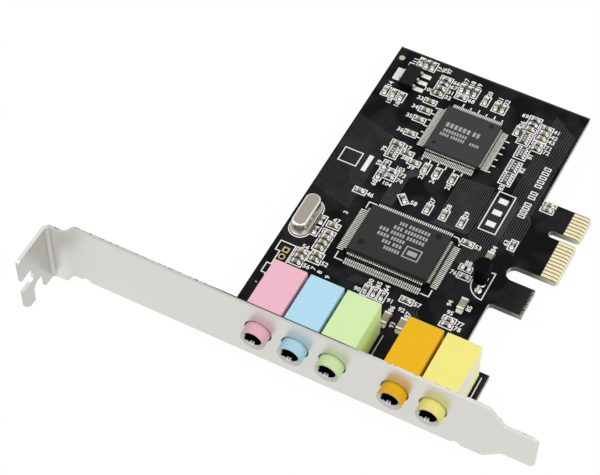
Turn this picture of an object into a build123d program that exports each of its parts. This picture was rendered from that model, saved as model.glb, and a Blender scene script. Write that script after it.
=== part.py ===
from build123d import *
import os

# Sound card for a one-lane expansion slot: a black board with an edge connector,
# five 3.5 mm jacks, two flat packages and small parts, behind a folded slot bracket.
# X runs along the bracket from its screw tab to its tongue, Y from the bracket to the
# far end of the board, Z out of the component side. The origin is the middle of the
# key notch at the connector's edge, half way through the board.

# Board
BOARD_T = 1.57
BOARD_FAR = 35.95
BOARD_LEFT = -62.0
BOARD_RIGHT = -12.1
BOARD_RIGHT_LOW = -11.5
HOOK_X = -3.6
HOOK_TOP = -16.2
HOOK_BOTTOM = -24.0
WING_SIDE = 2.05
WING_BEHIND = 0.95
TOP = BOARD_T / 2
BOTTOM = -BOARD_T / 2

# Edge connector
FINGER_PITCH = 1.0
FINGER_W = 0.7
FINGER_T = 0.04
FINGER_IN = 4.25
FINGERS_NEAR = 11
FINGERS_FAR = 7
KEY_W = 1.9
KEY_DEPTH = 7.4
KEY_TO_FINGER = 1.5
EDGE_MARGIN = 0.65
BEVEL_LEN = 1.2
BEVEL_DROP = 0.42
CONN_R = 0.7
CONN_NEAR = -(KEY_TO_FINGER + (FINGERS_NEAR - 1) * FINGER_PITCH + EDGE_MARGIN)
CONN_FAR = KEY_TO_FINGER + (FINGERS_FAR - 1) * FINGER_PITCH + EDGE_MARGIN

# Bracket, measured from the outer face of its tab and of its plate
BRACKET_L = 120.02
BRACKET_W = 18.42
BRACKET_T = 0.86
BRACKET_ABOVE = 14.3
EDGE_TO_TAB = 105.75
KEY_TO_BRACKET = 58.15
TAB_DEPTH = 11.43
TAB_DROP = 3.55
BEND_R = 0.8
SCREW_SLOT_W = 4.0
SCREW_SLOT_LEN = 4.8
SCREW_SLOT_Z = 1.8
TAB_NOTCH_W = 4.4
TAB_NOTCH_Y = -5.5
TAB_NOTCH_H = 5.2
NECK_LOW = (4.6, 6.7)
NECK_HIGH = (5.0, 8.0)
NECK_R = 1.5
RELIEF_FROM_TAB = 9.0
RELIEF_FROM_TAPER = 7.42
RELIEF_W = 2.4
RELIEF_H = 0.8
RELIEF_R = 0.6
TONGUE_W = 10.19
TONGUE_Z = 4.9
TONGUE_LEN = 7.6
TONGUE_TAPER = 4.1
TAPER_R = 1.2
TONGUE_R = 1.6
TAB_X = -EDGE_TO_TAB
PLATE_Y = -KEY_TO_BRACKET

# Jacks, from the component side and the outer face of the bracket
JACK_W = 8.2
JACK_H = 11.3
JACK_BACK = 15.6
JACK_GAP = 0.25
JACK_AXIS_Z = 6.0
JACK_PITCH = 9.0
GROUP_STEP = 14.9
FIRST_JACK_IN = 10.55
NOSE_R = 3.0
NOSE_OUT = 2.8
NOSE_CLEAR = 0.35
BORE_R = 1.8
BORE_END = 12.0
SPRING_T = 0.3
SPRING_W = 0.65
SPRING_STEP = 0.45
SPRING_CLEAR = 0.05
SPRING_TAILS = (7.0, 9.2)
REAR_SPRING_W = 1.2
REAR_SLOT = 1.0
TAIL_OUT = 1.2
TAIL_CLEAR = 0.15
BOARD_FRONT = 1.6
JACK_X = [BOARD_LEFT + FIRST_JACK_IN + i * JACK_PITCH for i in range(3)]
JACK_X += [JACK_X[2] + GROUP_STEP + i * JACK_PITCH for i in range(2)]
WING_X = JACK_X[4] + JACK_W / 2 + WING_SIDE
WING_TOP = PLATE_Y + JACK_BACK + WING_BEHIND

# Lugs and screws that hold the bracket to the board
LUG_W = 5.6
LUG_LEN = 8.2
LUG_H = 7.0
LUG_X = (BOARD_LEFT + 0.4 + LUG_W / 2, (JACK_X[2] + JACK_X[3]) / 2)
SCREW_R = 1.45
SCREW_HEAD_R = 2.6
SCREW_HEAD_H = 1.5
SCREW_Y = 5.3
SCREW_CLEAR = 0.05
BOARD_HOLE_R = 1.7

# Flat packages: body sides, height, leads along X and Y, then the size of a lead
AUDIO = dict(at=(-35.9, -19.9), body=(20.0, 14.0), h=2.7, n=(38, 26))
AUDIO.update(pitch=0.5, lead_w=0.21, reach=1.8)
BRIDGE = dict(at=(-36.4, 15.9), body=(14.0, 14.0), h=1.5, n=(32, 32))
BRIDGE.update(pitch=0.4, lead_w=0.17, reach=1.3)
LEAD_T = 0.15
LEAD_FOOT = 0.85

# Crystal can, regulator, transistor
CRYSTAL_AT = (-58.4, -21.9)
CRYSTAL_FLANGE = (11.05, 4.65, 0.45)
CRYSTAL_CAN = (10.2, 3.8, 3.5)
CRYSTAL_PINS = 4.88
REG_AT = (-55.7, 27.4)
REG_BODY = (3.5, 6.5, 1.65)
REG_SPAN = 7.0
REG_PITCH = 2.3
TRANSISTOR_AT = (-15.0, -20.2)
TRANSISTOR_R = 2.3
TRANSISTOR_FLAT = 1.3
TRANSISTOR_Z = (2.6, 7.2)
TRANSISTOR_PITCH = 1.27
TRANSISTOR_SPREAD = 2.54
PIN = 0.45
PIN_CLEAR = 0.2

# Surface parts: length, width, height, end cap length
SMALL = (1.6, 0.8, 0.75, 0.35)
RESISTOR = (1.6, 0.8, 0.45, 0.3)
LARGE = (3.2, 1.6, 1.15, 0.5)
ARRAY = (3.2, 1.6, 0.5, 0.3)
ARRAY_PITCH = 0.8
CAP_STEP = 0.03

# Places on the board with the turn of the long side from X
SMALL_AT = [(x, y, 90) for x, y in (
    (-55.4, 33.4), (-53.9, 33.4), (-52.3, 33.4), (-59.2, 21.2), (-57.1, 21.2), (-55.0, 21.1),
    (-43.1, 30.4), (-41.4, 30.4), (-39.7, 30.4), (-36.4, 29.3), (-33.4, 28.8), (-31.7, 28.8),
    (-40.3, 4.0), (-37.4, 4.0), (-33.4, 4.0), (-25.8, 24.4), (-34.8, -6.6), (-30.7, -6.5),
    (-26.2, -6.5), (-37.3, -33.7))]
SMALL_AT += [(x, y, 0) for x, y in (
    (-47.7, 27.8), (-47.7, 26.1), (-48.2, 23.0), (-48.2, 20.0), (-48.2, 16.8), (-48.2, 11.9),
    (-49.5, 7.7), (-46.2, 6.1), (-43.6, 4.2), (-23.5, 26.1), (-20.0, 28.1), (-20.0, 26.3),
    (-20.0, 24.7), (-10.3, 7.3), (-10.3, 5.8), (-51.1, -9.1), (-51.9, -21.0), (-51.9, -24.9),
    (-51.9, -26.5), (-51.9, -28.2), (-51.4, -30.1), (-51.4, -31.7), (-22.6, -11.4),
    (-54.8, -30.9), (-54.8, -32.5), (-54.8, -34.1), (-28.0, -32.1))]
SMALL_AT += [(-41.1, -6.7, -45)]
RESISTOR_AT = [(x, y, 90) for x, y in (
    (-49.2, 0.5), (-49.2, -2.8), (-54.9, -20.9), (-54.9, -24.0), (-13.2, -7.1), (-33.3, -33.6),
    (-35.3, -33.5))]
RESISTOR_AT += [(x, y, 0) for x, y in (
    (-47.7, 31.2), (-47.7, 29.6), (-42.2, 27.7), (-23.5, 29.5), (-23.5, 27.8), (-19.9, 22.8),
    (-19.9, 21.3), (-46.9, -0.5), (-46.9, -2.3), (-51.9, -23.4), (-19.4, -20.2),
    (-17.4, -32.4), (-17.4, -33.9))]
ARRAY_AT = [(x, y, 90) for x, y in (
    (-49.4, 4.9), (-23.5, 22.9), (-22.3, 18.6), (-22.3, 13.9), (-22.3, 9.9))]
LARGE_AT = [(x, y, 90) for x, y in ((-16.5, -13.3), (-16.4, -27.6), (-29.9, -38.9), (-26.0, -38.8))]

os.makedirs("parts", exist_ok=True)


def block(x0, x1, y0, y1, z0, z1):
    """Box between two corners."""
    size = (x1 - x0, y1 - y0, z1 - z0)
    return Pos((x0 + x1) / 2, (y0 + y1) / 2, (z0 + z1) / 2) * Box(*size)


def face(points):
    """Flat face through points in the XY plane."""
    return make_face(Polyline(*points, close=True))


def along_x(profile, x0, x1):
    """Profile of (y, z) points run along X."""
    plane = Plane((x0, 0, 0), x_dir=(0, 1, 0), z_dir=(1, 0, 0))
    return extrude(plane * face(profile), x1 - x0)


def along_y(profile, y0, y1):
    """Profile of (x, z) points run along Y."""
    plane = Plane((0, y1, 0), x_dir=(1, 0, 0), z_dir=(0, -1, 0))
    return extrude(plane * face(profile), y1 - y0)


def rod_y(radius, y0, y1):
    """Round bar on the Y axis."""
    return Pos(0, (y0 + y1) / 2, 0) * Rot(90, 0, 0) * Cylinder(radius, y1 - y0)


def save(name, *solids):
    """One node of the assembly."""
    shape = solids[0] if len(solids) == 1 else Compound(children=list(solids))
    shape.label = name
    export_step(shape, f"parts/{name}.step")


# Board: hook and slot beside the connector, wing beside the last jack
def finger_places():
    """Middle of every contact along Y."""
    near = [-KEY_TO_FINGER - i * FINGER_PITCH for i in range(FINGERS_NEAR)]
    far = [KEY_TO_FINGER + i * FINGER_PITCH for i in range(FINGERS_FAR)]
    return near + far


def tail_places():
    """Openings in the board for jack tails: x, y, width, length."""
    found = []
    slot = SPRING_T + 2 * TAIL_CLEAR
    for x in JACK_X:
        for side, tail in zip((-1, 1), SPRING_TAILS):
            mid = PLATE_Y + tail - SPRING_T / 2
            found.append((x + side * SPRING_STEP, mid, SPRING_W + 2 * TAIL_CLEAR, slot))
        mid = PLATE_Y + BORE_END + REAR_SLOT - SPRING_T / 2
        found.append((x, mid, REAR_SPRING_W + 2 * TAIL_CLEAR, slot))
    return found


def pin_places():
    """Pins of the crystal and of the transistor."""
    found = [(CRYSTAL_AT[0], CRYSTAL_AT[1] + s * CRYSTAL_PINS / 2) for s in (-1, 1)]
    for s in (-1, 0, 1):
        found.append((TRANSISTOR_AT[0], TRANSISTOR_AT[1] + s * TRANSISTOR_SPREAD))
    return found


def board():
    front = PLATE_Y + BOARD_FRONT
    outline = face([
        (BOARD_LEFT, front), (WING_X, front), (WING_X, WING_TOP), (BOARD_RIGHT_LOW, WING_TOP),
        (BOARD_RIGHT_LOW, HOOK_BOTTOM), (HOOK_X, HOOK_BOTTOM), (HOOK_X, CONN_NEAR),
        (0, CONN_NEAR), (0, CONN_FAR), (BOARD_RIGHT, CONN_FAR), (BOARD_RIGHT, BOARD_FAR),
        (BOARD_LEFT, BOARD_FAR)])
    plate = Pos(0, 0, BOTTOM) * extrude(outline, BOARD_T)
    inner = [e for e in plate.edges().filter_by(Axis.Z)
             if abs(e.center().X - BOARD_RIGHT_LOW) < 0.01]
    plate = fillet(inner, 1.0)
    key_r = KEY_W / 2
    slot_r = (CONN_NEAR - HOOK_TOP) / 2
    slot_mid = (CONN_NEAR + HOOK_TOP) / 2
    for end, mid, r in ((-KEY_DEPTH, 0, key_r), (BOARD_RIGHT_LOW, slot_mid, slot_r)):
        plate -= block(end + r, 1, mid - r, mid + r, BOTTOM, TOP)
        plate -= Pos(end + r, mid, 0) * Cylinder(r, BOARD_T)
    plate = fillet([e for e in plate.edges().filter_by(Axis.Z) if abs(e.center().X) < 0.01], CONN_R)
    for s in (-1, 1):
        wedge = [(-BEVEL_LEN, s * TOP), (0, s * (TOP - BEVEL_DROP)), (0, s * TOP)]
        plate -= along_y(wedge, CONN_NEAR, CONN_FAR)
    for x, y, w, d in tail_places():
        plate -= Pos(x, y, 0) * Box(w, d, BOARD_T)
    for x, y in pin_places():
        plate -= Pos(x, y, 0) * Box(PIN + 2 * PIN_CLEAR, PIN + 2 * PIN_CLEAR, BOARD_T)
    for x in LUG_X:
        plate -= Pos(x, PLATE_Y + SCREW_Y, 0) * Cylinder(BOARD_HOLE_R, BOARD_T)
    return plate


def fingers(z0, z1):
    half = FINGER_W / 2
    return [block(-FINGER_IN, -BEVEL_LEN, y - half, y + half, z0, z1) for y in finger_places()]


save("board", board())
save("contacts_component_side", *fingers(TOP, TOP + FINGER_T))
save("contacts_solder_side", *fingers(BOTTOM - FINGER_T, BOTTOM))


# Bracket: flat plate with jack holes and tapered tongue, folded tab with screw slot
def edge_at(plate, x, z):
    """Edge through the thickness of a plate, nearest to a corner of its outline."""
    return plate.edges().filter_by(Axis.Y).sort_by_distance((x, BRACKET_T / 2, z))[0]


def bracket():
    high = BRACKET_ABOVE
    low = high - BRACKET_W
    tab_high = high - TAB_DROP
    tab_low = low - TAB_DROP
    bend = BRACKET_T + BEND_R
    neck = BRACKET_L - TONGUE_LEN
    tongue = (TONGUE_Z - TONGUE_W / 2, TONGUE_Z + TONGUE_W / 2)
    necks = [(NECK_LOW[0], tab_low), (NECK_LOW[1], low), (NECK_HIGH[1], high), (NECK_HIGH[0], tab_high)]
    reliefs = []
    for x in (RELIEF_FROM_TAB, neck - TONGUE_TAPER - RELIEF_FROM_TAPER):
        reliefs += [(x, low), (x + 0.25 * RELIEF_W, low + RELIEF_H)]
        reliefs += [(x + 0.6 * RELIEF_W, low + RELIEF_H), (x + RELIEF_W, low)]
    tapers = [(neck - TONGUE_TAPER, low), (neck, tongue[0]), (neck, tongue[1]), (neck - TONGUE_TAPER, high)]
    ends = [(BRACKET_L, tongue[0]), (BRACKET_L, tongue[1])]
    outline = [(bend, tab_low)] + necks[:2] + reliefs + tapers[:2] + ends + tapers[2:] + necks[2:]
    plate = along_y(outline + [(bend, tab_high)], 0, BRACKET_T)
    for corners, radius in ((necks, NECK_R), (reliefs, RELIEF_R), (tapers, TAPER_R), (ends, TONGUE_R)):
        plate = fillet([edge_at(plate, x, z) for x, z in corners], radius)
    for x in JACK_X:
        hole = rod_y(NOSE_R + NOSE_CLEAR, 0, BRACKET_T)
        plate -= Pos(x - TAB_X, 0, JACK_AXIS_Z) * hole
    turn = Pos(bend, -BEND_R, (tab_low + tab_high) / 2) * Cylinder(BEND_R + BRACKET_T, tab_high - tab_low)
    turn -= Pos(bend, -BEND_R, (tab_low + tab_high) / 2) * Cylinder(BEND_R, tab_high - tab_low)
    turn &= block(0, bend, -BEND_R, BRACKET_T, tab_low, tab_high)
    tab = block(0, BRACKET_T, -TAB_DEPTH, -BEND_R, tab_low, tab_high)
    outer = tab.edges().filter_by(Axis.X).group_by(Axis.Y)[0]
    tab = chamfer(outer.sort_by(Axis.Z)[0], 1.6)
    tab = fillet(tab.edges().filter_by(Axis.X).sort_by(Axis.Z)[-2:].sort_by(Axis.Y)[0], 0.8)
    slot_r = SCREW_SLOT_W / 2
    slot_end = -TAB_DEPTH + SCREW_SLOT_LEN - slot_r
    tab -= block(0, BRACKET_T, -TAB_DEPTH, slot_end, SCREW_SLOT_Z - slot_r, SCREW_SLOT_Z + slot_r)
    tab -= Pos(BRACKET_T / 2, slot_end, SCREW_SLOT_Z) * Rot(0, 90, 0) * Cylinder(slot_r, BRACKET_T)
    notch_r = TAB_NOTCH_W / 2
    notch_z = tab_low + TAB_NOTCH_H - notch_r
    tab -= block(0, BRACKET_T, TAB_NOTCH_Y - notch_r, TAB_NOTCH_Y + notch_r, tab_low, notch_z)
    tab -= Pos(BRACKET_T / 2, TAB_NOTCH_Y, notch_z) * Rot(0, 90, 0) * Cylinder(notch_r, BRACKET_T)
    return Pos(TAB_X, PLATE_Y, TOP) * (plate + turn + tab)


def lug():
    t = BRACKET_T
    r = BEND_R
    w = LUG_W / 2
    leg = block(-w, w, t, 2 * t, t + r, LUG_H)
    foot = block(-w, w, 2 * t + r, LUG_LEN, 0, t)
    at = Pos(0, 2 * t + r, t + r) * Rot(0, 90, 0)
    turn = at * Cylinder(t + r, LUG_W) - at * Cylinder(r, LUG_W)
    turn &= block(-w, w, t, 2 * t + r, 0, t + r)
    piece = leg + foot + turn
    piece -= Pos(0, SCREW_Y, t / 2) * Cylinder(SCREW_R + SCREW_CLEAR, t)
    return chamfer(piece.edges().filter_by(Axis.Z).sort_by(Axis.Y)[-2:], 1.2)


def screw():
    head = Pos(0, 0, -SCREW_HEAD_H / 2) * Cylinder(SCREW_HEAD_R, SCREW_HEAD_H)
    length = BOARD_T + BRACKET_T + 0.6
    return head + Pos(0, 0, length / 2) * Cylinder(SCREW_R, length)


save("bracket", bracket())
save("bracket_lugs", *[Pos(x, PLATE_Y, TOP) * lug() for x in LUG_X])
save("bracket_screws", *[Pos(x, PLATE_Y + SCREW_Y, BOTTOM) * screw() for x in LUG_X])


# Jacks: housing with a round nose through the bracket, contact springs under the bore
def jack_housing():
    front = BRACKET_T + JACK_GAP
    half = JACK_W / 2
    floor = JACK_AXIS_Z - BORE_R - SPRING_CLEAR - SPRING_T
    reach = SPRING_STEP + SPRING_W / 2 + TAIL_CLEAR
    body = block(-half, half, front, JACK_BACK, 0, JACK_H)
    body = chamfer(body.edges().group_by(Axis.Z)[-1], 0.25)
    body += Pos(0, 0, JACK_AXIS_Z) * rod_y(NOSE_R, -NOSE_OUT, front)
    body -= Pos(0, 0, JACK_AXIS_Z) * rod_y(BORE_R, -NOSE_OUT, BORE_END)
    body -= block(-reach, reach, -NOSE_OUT + 0.5, SPRING_TAILS[1] + TAIL_CLEAR, floor, JACK_AXIS_Z)
    body -= block(-reach, reach, SPRING_TAILS[0] - 1, SPRING_TAILS[1] + TAIL_CLEAR, 0, JACK_AXIS_Z)
    rear = REAR_SPRING_W / 2 + TAIL_CLEAR
    body -= block(-rear, rear, BORE_END, BORE_END + REAR_SLOT, 0, JACK_AXIS_Z + BORE_R)
    return body


def jack_contacts():
    high = JACK_AXIS_Z - BORE_R - SPRING_CLEAR
    low = high - SPRING_T
    end = -BOARD_T - TAIL_OUT
    front = -NOSE_OUT + 0.6
    springs = []
    for side, tail in zip((-1, 1), SPRING_TAILS):
        x0 = side * SPRING_STEP - SPRING_W / 2
        profile = [
            (front, low), (front, high), (tail, high), (tail, end), (tail - SPRING_T, end),
            (tail - SPRING_T, low)]
        springs.append(along_x(profile, x0, x0 + SPRING_W))
    back = BORE_END + REAR_SLOT
    w = REAR_SPRING_W / 2
    springs.append(block(-w, w, back - SPRING_T, back, end, JACK_AXIS_Z + BORE_R - 0.2))
    return springs


HOUSING = jack_housing()
CONTACTS = jack_contacts()
for index, x in enumerate(JACK_X):
    place = Pos(x, PLATE_Y, TOP)
    save(f"jack_{index + 1}_housing", place * HOUSING)
    save(f"jack_{index + 1}_contacts", *[place * c for c in CONTACTS])


# Flat packages: moulded body with a level band where the bent leads leave it
def package_body(spec):
    w, d = spec["body"]
    gap = 0.1
    mid = spec["h"] / 2
    band = LEAD_T / 2
    lower = extrude(Plane.XY.offset(mid - band) * Rectangle(w, d), -(mid - band - gap), taper=8)
    upper = extrude(Plane.XY.offset(mid + band) * Rectangle(w, d), spec["h"] - mid - band, taper=8)
    body = lower + upper + Pos(0, 0, mid) * Box(w, d, LEAD_T)
    dot = Pos(-w / 2 + 1.9, -d / 2 + 1.9, spec["h"]) * Cylinder(0.55, 0.2)
    return Pos(*spec["at"], TOP) * (body - dot)


def gull_lead(mid, width, reach, foot, thick, level=0):
    """Lead that leaves a body along X at height mid, runs level if asked, and ends on the board."""
    heel = reach - foot
    over = [(level, mid + thick / 2)] if level else []
    under = [(level - 0.6 * thick, mid - thick / 2)] if level else []
    profile = [(0, mid + thick / 2)] + over + [(heel, thick), (reach, thick), (reach, 0)]
    profile += [(heel - 0.8 * thick, 0)] + under + [(0, mid - thick / 2)]
    return along_y(profile, -width / 2, width / 2)


def package_leads(spec):
    w, d = spec["body"]
    pitch = spec["pitch"]
    size = dict(mid=spec["h"] / 2, width=spec["lead_w"], reach=spec["reach"])
    lead = gull_lead(foot=LEAD_FOOT, thick=LEAD_T, **size)
    base = Pos(*spec["at"], TOP)
    found = []
    for turn, out, count in ((0, w, spec["n"][1]), (90, d, spec["n"][0])):
        for side in (0, 180):
            for i in range(count):
                shift = (i - (count - 1) / 2) * pitch
                found.append(base * Rot(0, 0, turn + side) * Pos(out / 2, shift, 0) * lead)
    return found


save("audio_chip_body", package_body(AUDIO))
save("audio_chip_leads", *package_leads(AUDIO))
save("bridge_chip_body", package_body(BRIDGE))
save("bridge_chip_leads", *package_leads(BRIDGE))


# Crystal: pressed can on a flange with two pins through the board
def crystal_can():
    length, width, thick = CRYSTAL_FLANGE
    flange = extrude(SlotOverall(length, width), thick)
    can = extrude(SlotOverall(CRYSTAL_CAN[0], CRYSTAL_CAN[1]), CRYSTAL_CAN[2])
    can = chamfer(can.edges().group_by(Axis.Z)[-1], 0.5)
    return Pos(*CRYSTAL_AT, TOP) * Rot(0, 0, 90) * (flange + can)


def straight_pin(x, y, high):
    half = PIN / 2
    return block(x - half, x + half, y - half, y + half, BOTTOM - TAIL_OUT, high)


save("crystal_can", crystal_can())
save("crystal_pins", *[straight_pin(x, y, TOP) for x, y in pin_places()[:2]])


# Regulator: three leads on one side, a wide tab on the other
def regulator_body():
    w, d, h = REG_BODY
    gap = 0.08
    mid = h / 2
    band = 0.14
    lower = extrude(Plane.XY.offset(mid - band) * Rectangle(w, d), -(mid - band - gap), taper=6)
    upper = extrude(Plane.XY.offset(mid + band) * Rectangle(w, d), h - mid - band, taper=6)
    return Pos(*REG_AT, TOP) * (lower + upper + Pos(0, 0, mid) * Box(w, d, 2 * band))


REG_LEAD = dict(mid=REG_BODY[2] / 2, reach=(REG_SPAN - REG_BODY[0]) / 2, foot=0.95, thick=0.26, level=0.4)
REG_EDGE = REG_BODY[0] / 2
REG_BASE = Pos(*REG_AT, TOP)
save("regulator_body", regulator_body())
save("regulator_leads", *[
    REG_BASE * Pos(REG_EDGE, s * REG_PITCH, 0) * gull_lead(width=0.72, **REG_LEAD) for s in (-1, 0, 1)])
save("regulator_tab", REG_BASE * Rot(0, 0, 180) * Pos(REG_EDGE, 0, 0) * gull_lead(width=3.0, **REG_LEAD))


# Transistor: half-round body standing on three formed pins
def transistor_body():
    low, high = TRANSISTOR_Z
    body = extrude(Circle(TRANSISTOR_R), high - low)
    body -= block(TRANSISTOR_FLAT, 2 * TRANSISTOR_R, -3, 3, 0, high - low)
    return Pos(*TRANSISTOR_AT, TOP + low) * body


def transistor_pins():
    half = PIN / 2
    top = TOP + TRANSISTOR_Z[0]
    low = BOTTOM - TAIL_OUT
    x, y = TRANSISTOR_AT
    found = [straight_pin(x, y, top)]
    for s in (-1, 1):
        a = y + s * TRANSISTOR_PITCH
        b = y + s * TRANSISTOR_SPREAD
        profile = [
            (a - half, top), (a + half, top), (a + half, top - 0.4), (b + half, TOP + 0.9),
            (b + half, low), (b - half, low), (b - half, TOP + 0.9), (a - half, top - 0.4)]
        found.append(along_x(profile, x - half, x + half))
    return found


save("transistor_body", transistor_body())
save("transistor_pins", *transistor_pins())


# Surface parts: one body and two plated ends each, arrays with four ends a side
def chip_bodies(places, size):
    length, width, high, cap = size
    mid = block(-length / 2 + cap, length / 2 - cap, -width / 2 + CAP_STEP, width / 2 - CAP_STEP,
                CAP_STEP, high - CAP_STEP)
    return [Pos(x, y, TOP) * Rot(0, 0, turn) * mid for x, y, turn in places]


def chip_ends(places, size):
    length, width, high, cap = size
    found = []
    for x, y, turn in places:
        for side in (0, 180):
            end = block(length / 2 - cap, length / 2, -width / 2, width / 2, 0, high)
            found.append(Pos(x, y, TOP) * Rot(0, 0, turn + side) * end)
    return found


def array_bodies():
    length, width, high, cap = ARRAY
    mid = block(-length / 2, length / 2, -width / 2 + cap, width / 2 - cap, CAP_STEP, high)
    return [Pos(x, y, TOP) * Rot(0, 0, turn) * mid for x, y, turn in ARRAY_AT]


def array_ends():
    length, width, high, cap = ARRAY
    half = 0.27
    found = []
    for x, y, turn in ARRAY_AT:
        for side in (0, 180):
            for i in range(4):
                at = (i - 1.5) * ARRAY_PITCH
                end = block(at - half, at + half, width / 2 - cap, width / 2, 0, high)
                found.append(Pos(x, y, TOP) * Rot(0, 0, turn + side) * end)
    return found


save("small_capacitor_bodies", *chip_bodies(SMALL_AT, SMALL))
save("small_capacitor_ends", *chip_ends(SMALL_AT, SMALL))
save("resistor_bodies", *chip_bodies(RESISTOR_AT, RESISTOR))
save("resistor_ends", *chip_ends(RESISTOR_AT, RESISTOR))
save("large_capacitor_bodies", *chip_bodies(LARGE_AT, LARGE))
save("large_capacitor_ends", *chip_ends(LARGE_AT, LARGE))
save("array_bodies", *array_bodies())
save("array_ends", *array_ends())
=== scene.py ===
import math

import bmesh
import bpy
from mathutils import Matrix, Vector


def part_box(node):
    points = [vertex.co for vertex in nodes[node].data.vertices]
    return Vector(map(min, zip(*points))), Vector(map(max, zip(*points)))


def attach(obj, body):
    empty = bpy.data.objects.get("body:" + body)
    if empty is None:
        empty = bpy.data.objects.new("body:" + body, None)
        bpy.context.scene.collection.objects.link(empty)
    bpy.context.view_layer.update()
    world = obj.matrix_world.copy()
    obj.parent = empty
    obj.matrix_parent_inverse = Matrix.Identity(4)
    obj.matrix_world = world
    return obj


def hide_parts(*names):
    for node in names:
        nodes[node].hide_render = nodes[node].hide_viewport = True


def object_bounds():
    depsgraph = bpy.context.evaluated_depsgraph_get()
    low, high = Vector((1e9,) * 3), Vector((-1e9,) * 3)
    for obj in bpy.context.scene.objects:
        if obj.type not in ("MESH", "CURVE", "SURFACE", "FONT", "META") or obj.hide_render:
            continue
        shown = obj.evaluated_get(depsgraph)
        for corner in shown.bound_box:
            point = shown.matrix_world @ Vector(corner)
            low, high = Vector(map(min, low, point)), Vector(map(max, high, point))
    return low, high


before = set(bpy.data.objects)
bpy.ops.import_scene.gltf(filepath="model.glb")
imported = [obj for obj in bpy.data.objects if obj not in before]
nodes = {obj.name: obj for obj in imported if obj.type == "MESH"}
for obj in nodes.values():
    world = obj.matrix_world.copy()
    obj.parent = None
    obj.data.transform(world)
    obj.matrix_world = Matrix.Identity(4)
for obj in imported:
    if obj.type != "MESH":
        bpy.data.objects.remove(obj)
cad_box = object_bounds()

# Board: glass epoxy laminate under black solder mask, a shade lighter over the copper pours. The
# outline is routed, so the cut edges and the bevel of the edge connector show the pale laminate
# with its glass layers, and so does the rough end of the hook, which was snapped off a panel.
MM = 0.001
BOARD_LOW, BOARD_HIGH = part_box("board")
TOP = BOARD_HIGH.z
BOTTOM = BOARD_LOW.z
MASK_BLACK = (0.0066, 0.0066, 0.0076)
MASK_END = -4.3 * MM
POUR_SCALE = 130.0
POUR_DARK = 0.35
POUR_LIGHT = 1.9
LAMINATE = (0.60, 0.58, 0.52)
LAMINATE_DARK = (0.34, 0.33, 0.295)
# cut walls facing along Y are painted darker as painted shade, growing paler towards the connector's tip
LAMINATE_SIDE_SHADE = (0.14, 0.135, 0.122)
LAMINATE_TIP = (0.66, 0.635, 0.53)
GLASS_LAYERS = (300.0, 300.0, 9000.0)
TIP_FROM = -6.5 * MM
TIP_FULL = -1.0 * MM
BEVEL_PALE = (0.72, 0.69, 0.57)
FINGER_GAP = (0.23, 0.175, 0.08)
CONTACT_SIDE = -12.6 * MM
PLATING_END = -0.42
HOOK_EDGE = -3.6 * MM
HOOK_MID = -20.0 * MM
HOOK_HALF = 5.0 * MM
HOOK_WORN = (0.018, 0.018, 0.017)
WORN_FROM = HOOK_EDGE - 7.0 * MM
WORN_FULL = HOOK_EDGE - 1.0 * MM
SNAP_FROM = HOOK_EDGE - 0.7 * MM
SNAP_SCALE = 2600.0
RIM = 0.45 * MM
RIM_OLIVE = (0.036, 0.035, 0.025)
WING_EDGE = -3.4 * MM
WING_BACK = -41.5 * MM


def feed(tree, value, socket):
    """Links a node's output to a socket, or sets a plain number or colour on it."""
    if isinstance(value, (int, float)):
        socket.default_value = value
    elif isinstance(value, tuple):
        socket.default_value = (*value, 1.0)
    else:
        tree.links.new(value, socket)


def maths(tree, operation, first, second=0.0, third=0.0):
    """Math node fed by sockets or plain numbers; returns its output."""
    node = tree.nodes.new("ShaderNodeMath")
    node.operation = operation
    for socket, value in zip(node.inputs, (first, second, third)):
        feed(tree, value, socket)
    return node.outputs[0]


def ramp(tree, value, start, end, low=0.0, high=1.0):
    """Number that goes from low to high while value goes from start to end."""
    node = tree.nodes.new("ShaderNodeMapRange")
    tree.links.new(value, node.inputs["Value"])
    node.inputs["From Min"].default_value = start
    node.inputs["From Max"].default_value = end
    node.inputs["To Min"].default_value = low
    node.inputs["To Max"].default_value = high
    return node.outputs["Result"]


def blend_colour(tree, mask, under, over):
    """Colour that goes from under to over by mask; both are sockets or plain colours."""
    mix = tree.nodes.new("ShaderNodeMix")
    mix.data_type = "RGBA"
    tree.links.new(mask, mix.inputs["Factor"])
    feed(tree, under, mix.inputs["A"])
    feed(tree, over, mix.inputs["B"])
    return mix.outputs["Result"]


def shaded(tree, colour, factor):
    """Colour made darker or lighter by a factor, both sockets."""
    node = tree.nodes.new("ShaderNodeVectorMath")
    node.operation = "SCALE"
    tree.links.new(colour, node.inputs[0])
    tree.links.new(factor, node.inputs["Scale"])
    return node.outputs[0]


def axes(tree, kind, output):
    """X, Y and Z of what a Geometry or Texture Coordinate node gives."""
    node = tree.nodes.new("ShaderNode" + kind)
    split = tree.nodes.new("ShaderNodeSeparateXYZ")
    tree.links.new(node.outputs[output], split.inputs[0])
    return split.outputs


def noise(tree, scale, detail=2.0, stretch=(1.0, 1.0, 1.0)):
    """Noise over the piece's own coordinates, which can be stretched along each axis."""
    place = tree.nodes.new("ShaderNodeTexCoord")
    mapped = tree.nodes.new("ShaderNodeMapping")
    mapped.inputs["Scale"].default_value = stretch
    node = tree.nodes.new("ShaderNodeTexNoise")
    node.inputs["Detail"].default_value = detail
    tree.links.new(place.outputs["Object"], mapped.inputs["Vector"])
    tree.links.new(mapped.outputs["Vector"], node.inputs["Vector"])
    feed(tree, scale, node.inputs["Scale"])
    return node.outputs["Fac"]


def effect_group(name, inputs, outputs):
    """Empty shader node group with named sockets; returns it with its two end nodes."""
    group = bpy.data.node_groups.new(name, "ShaderNodeTree")
    for way, sockets in (("INPUT", inputs), ("OUTPUT", outputs)):
        for label, kind in sockets:
            group.interface.new_socket(name=label, in_out=way, socket_type="NodeSocket" + kind)
    return group, group.nodes.new("NodeGroupInput"), group.nodes.new("NodeGroupOutput")


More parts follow.
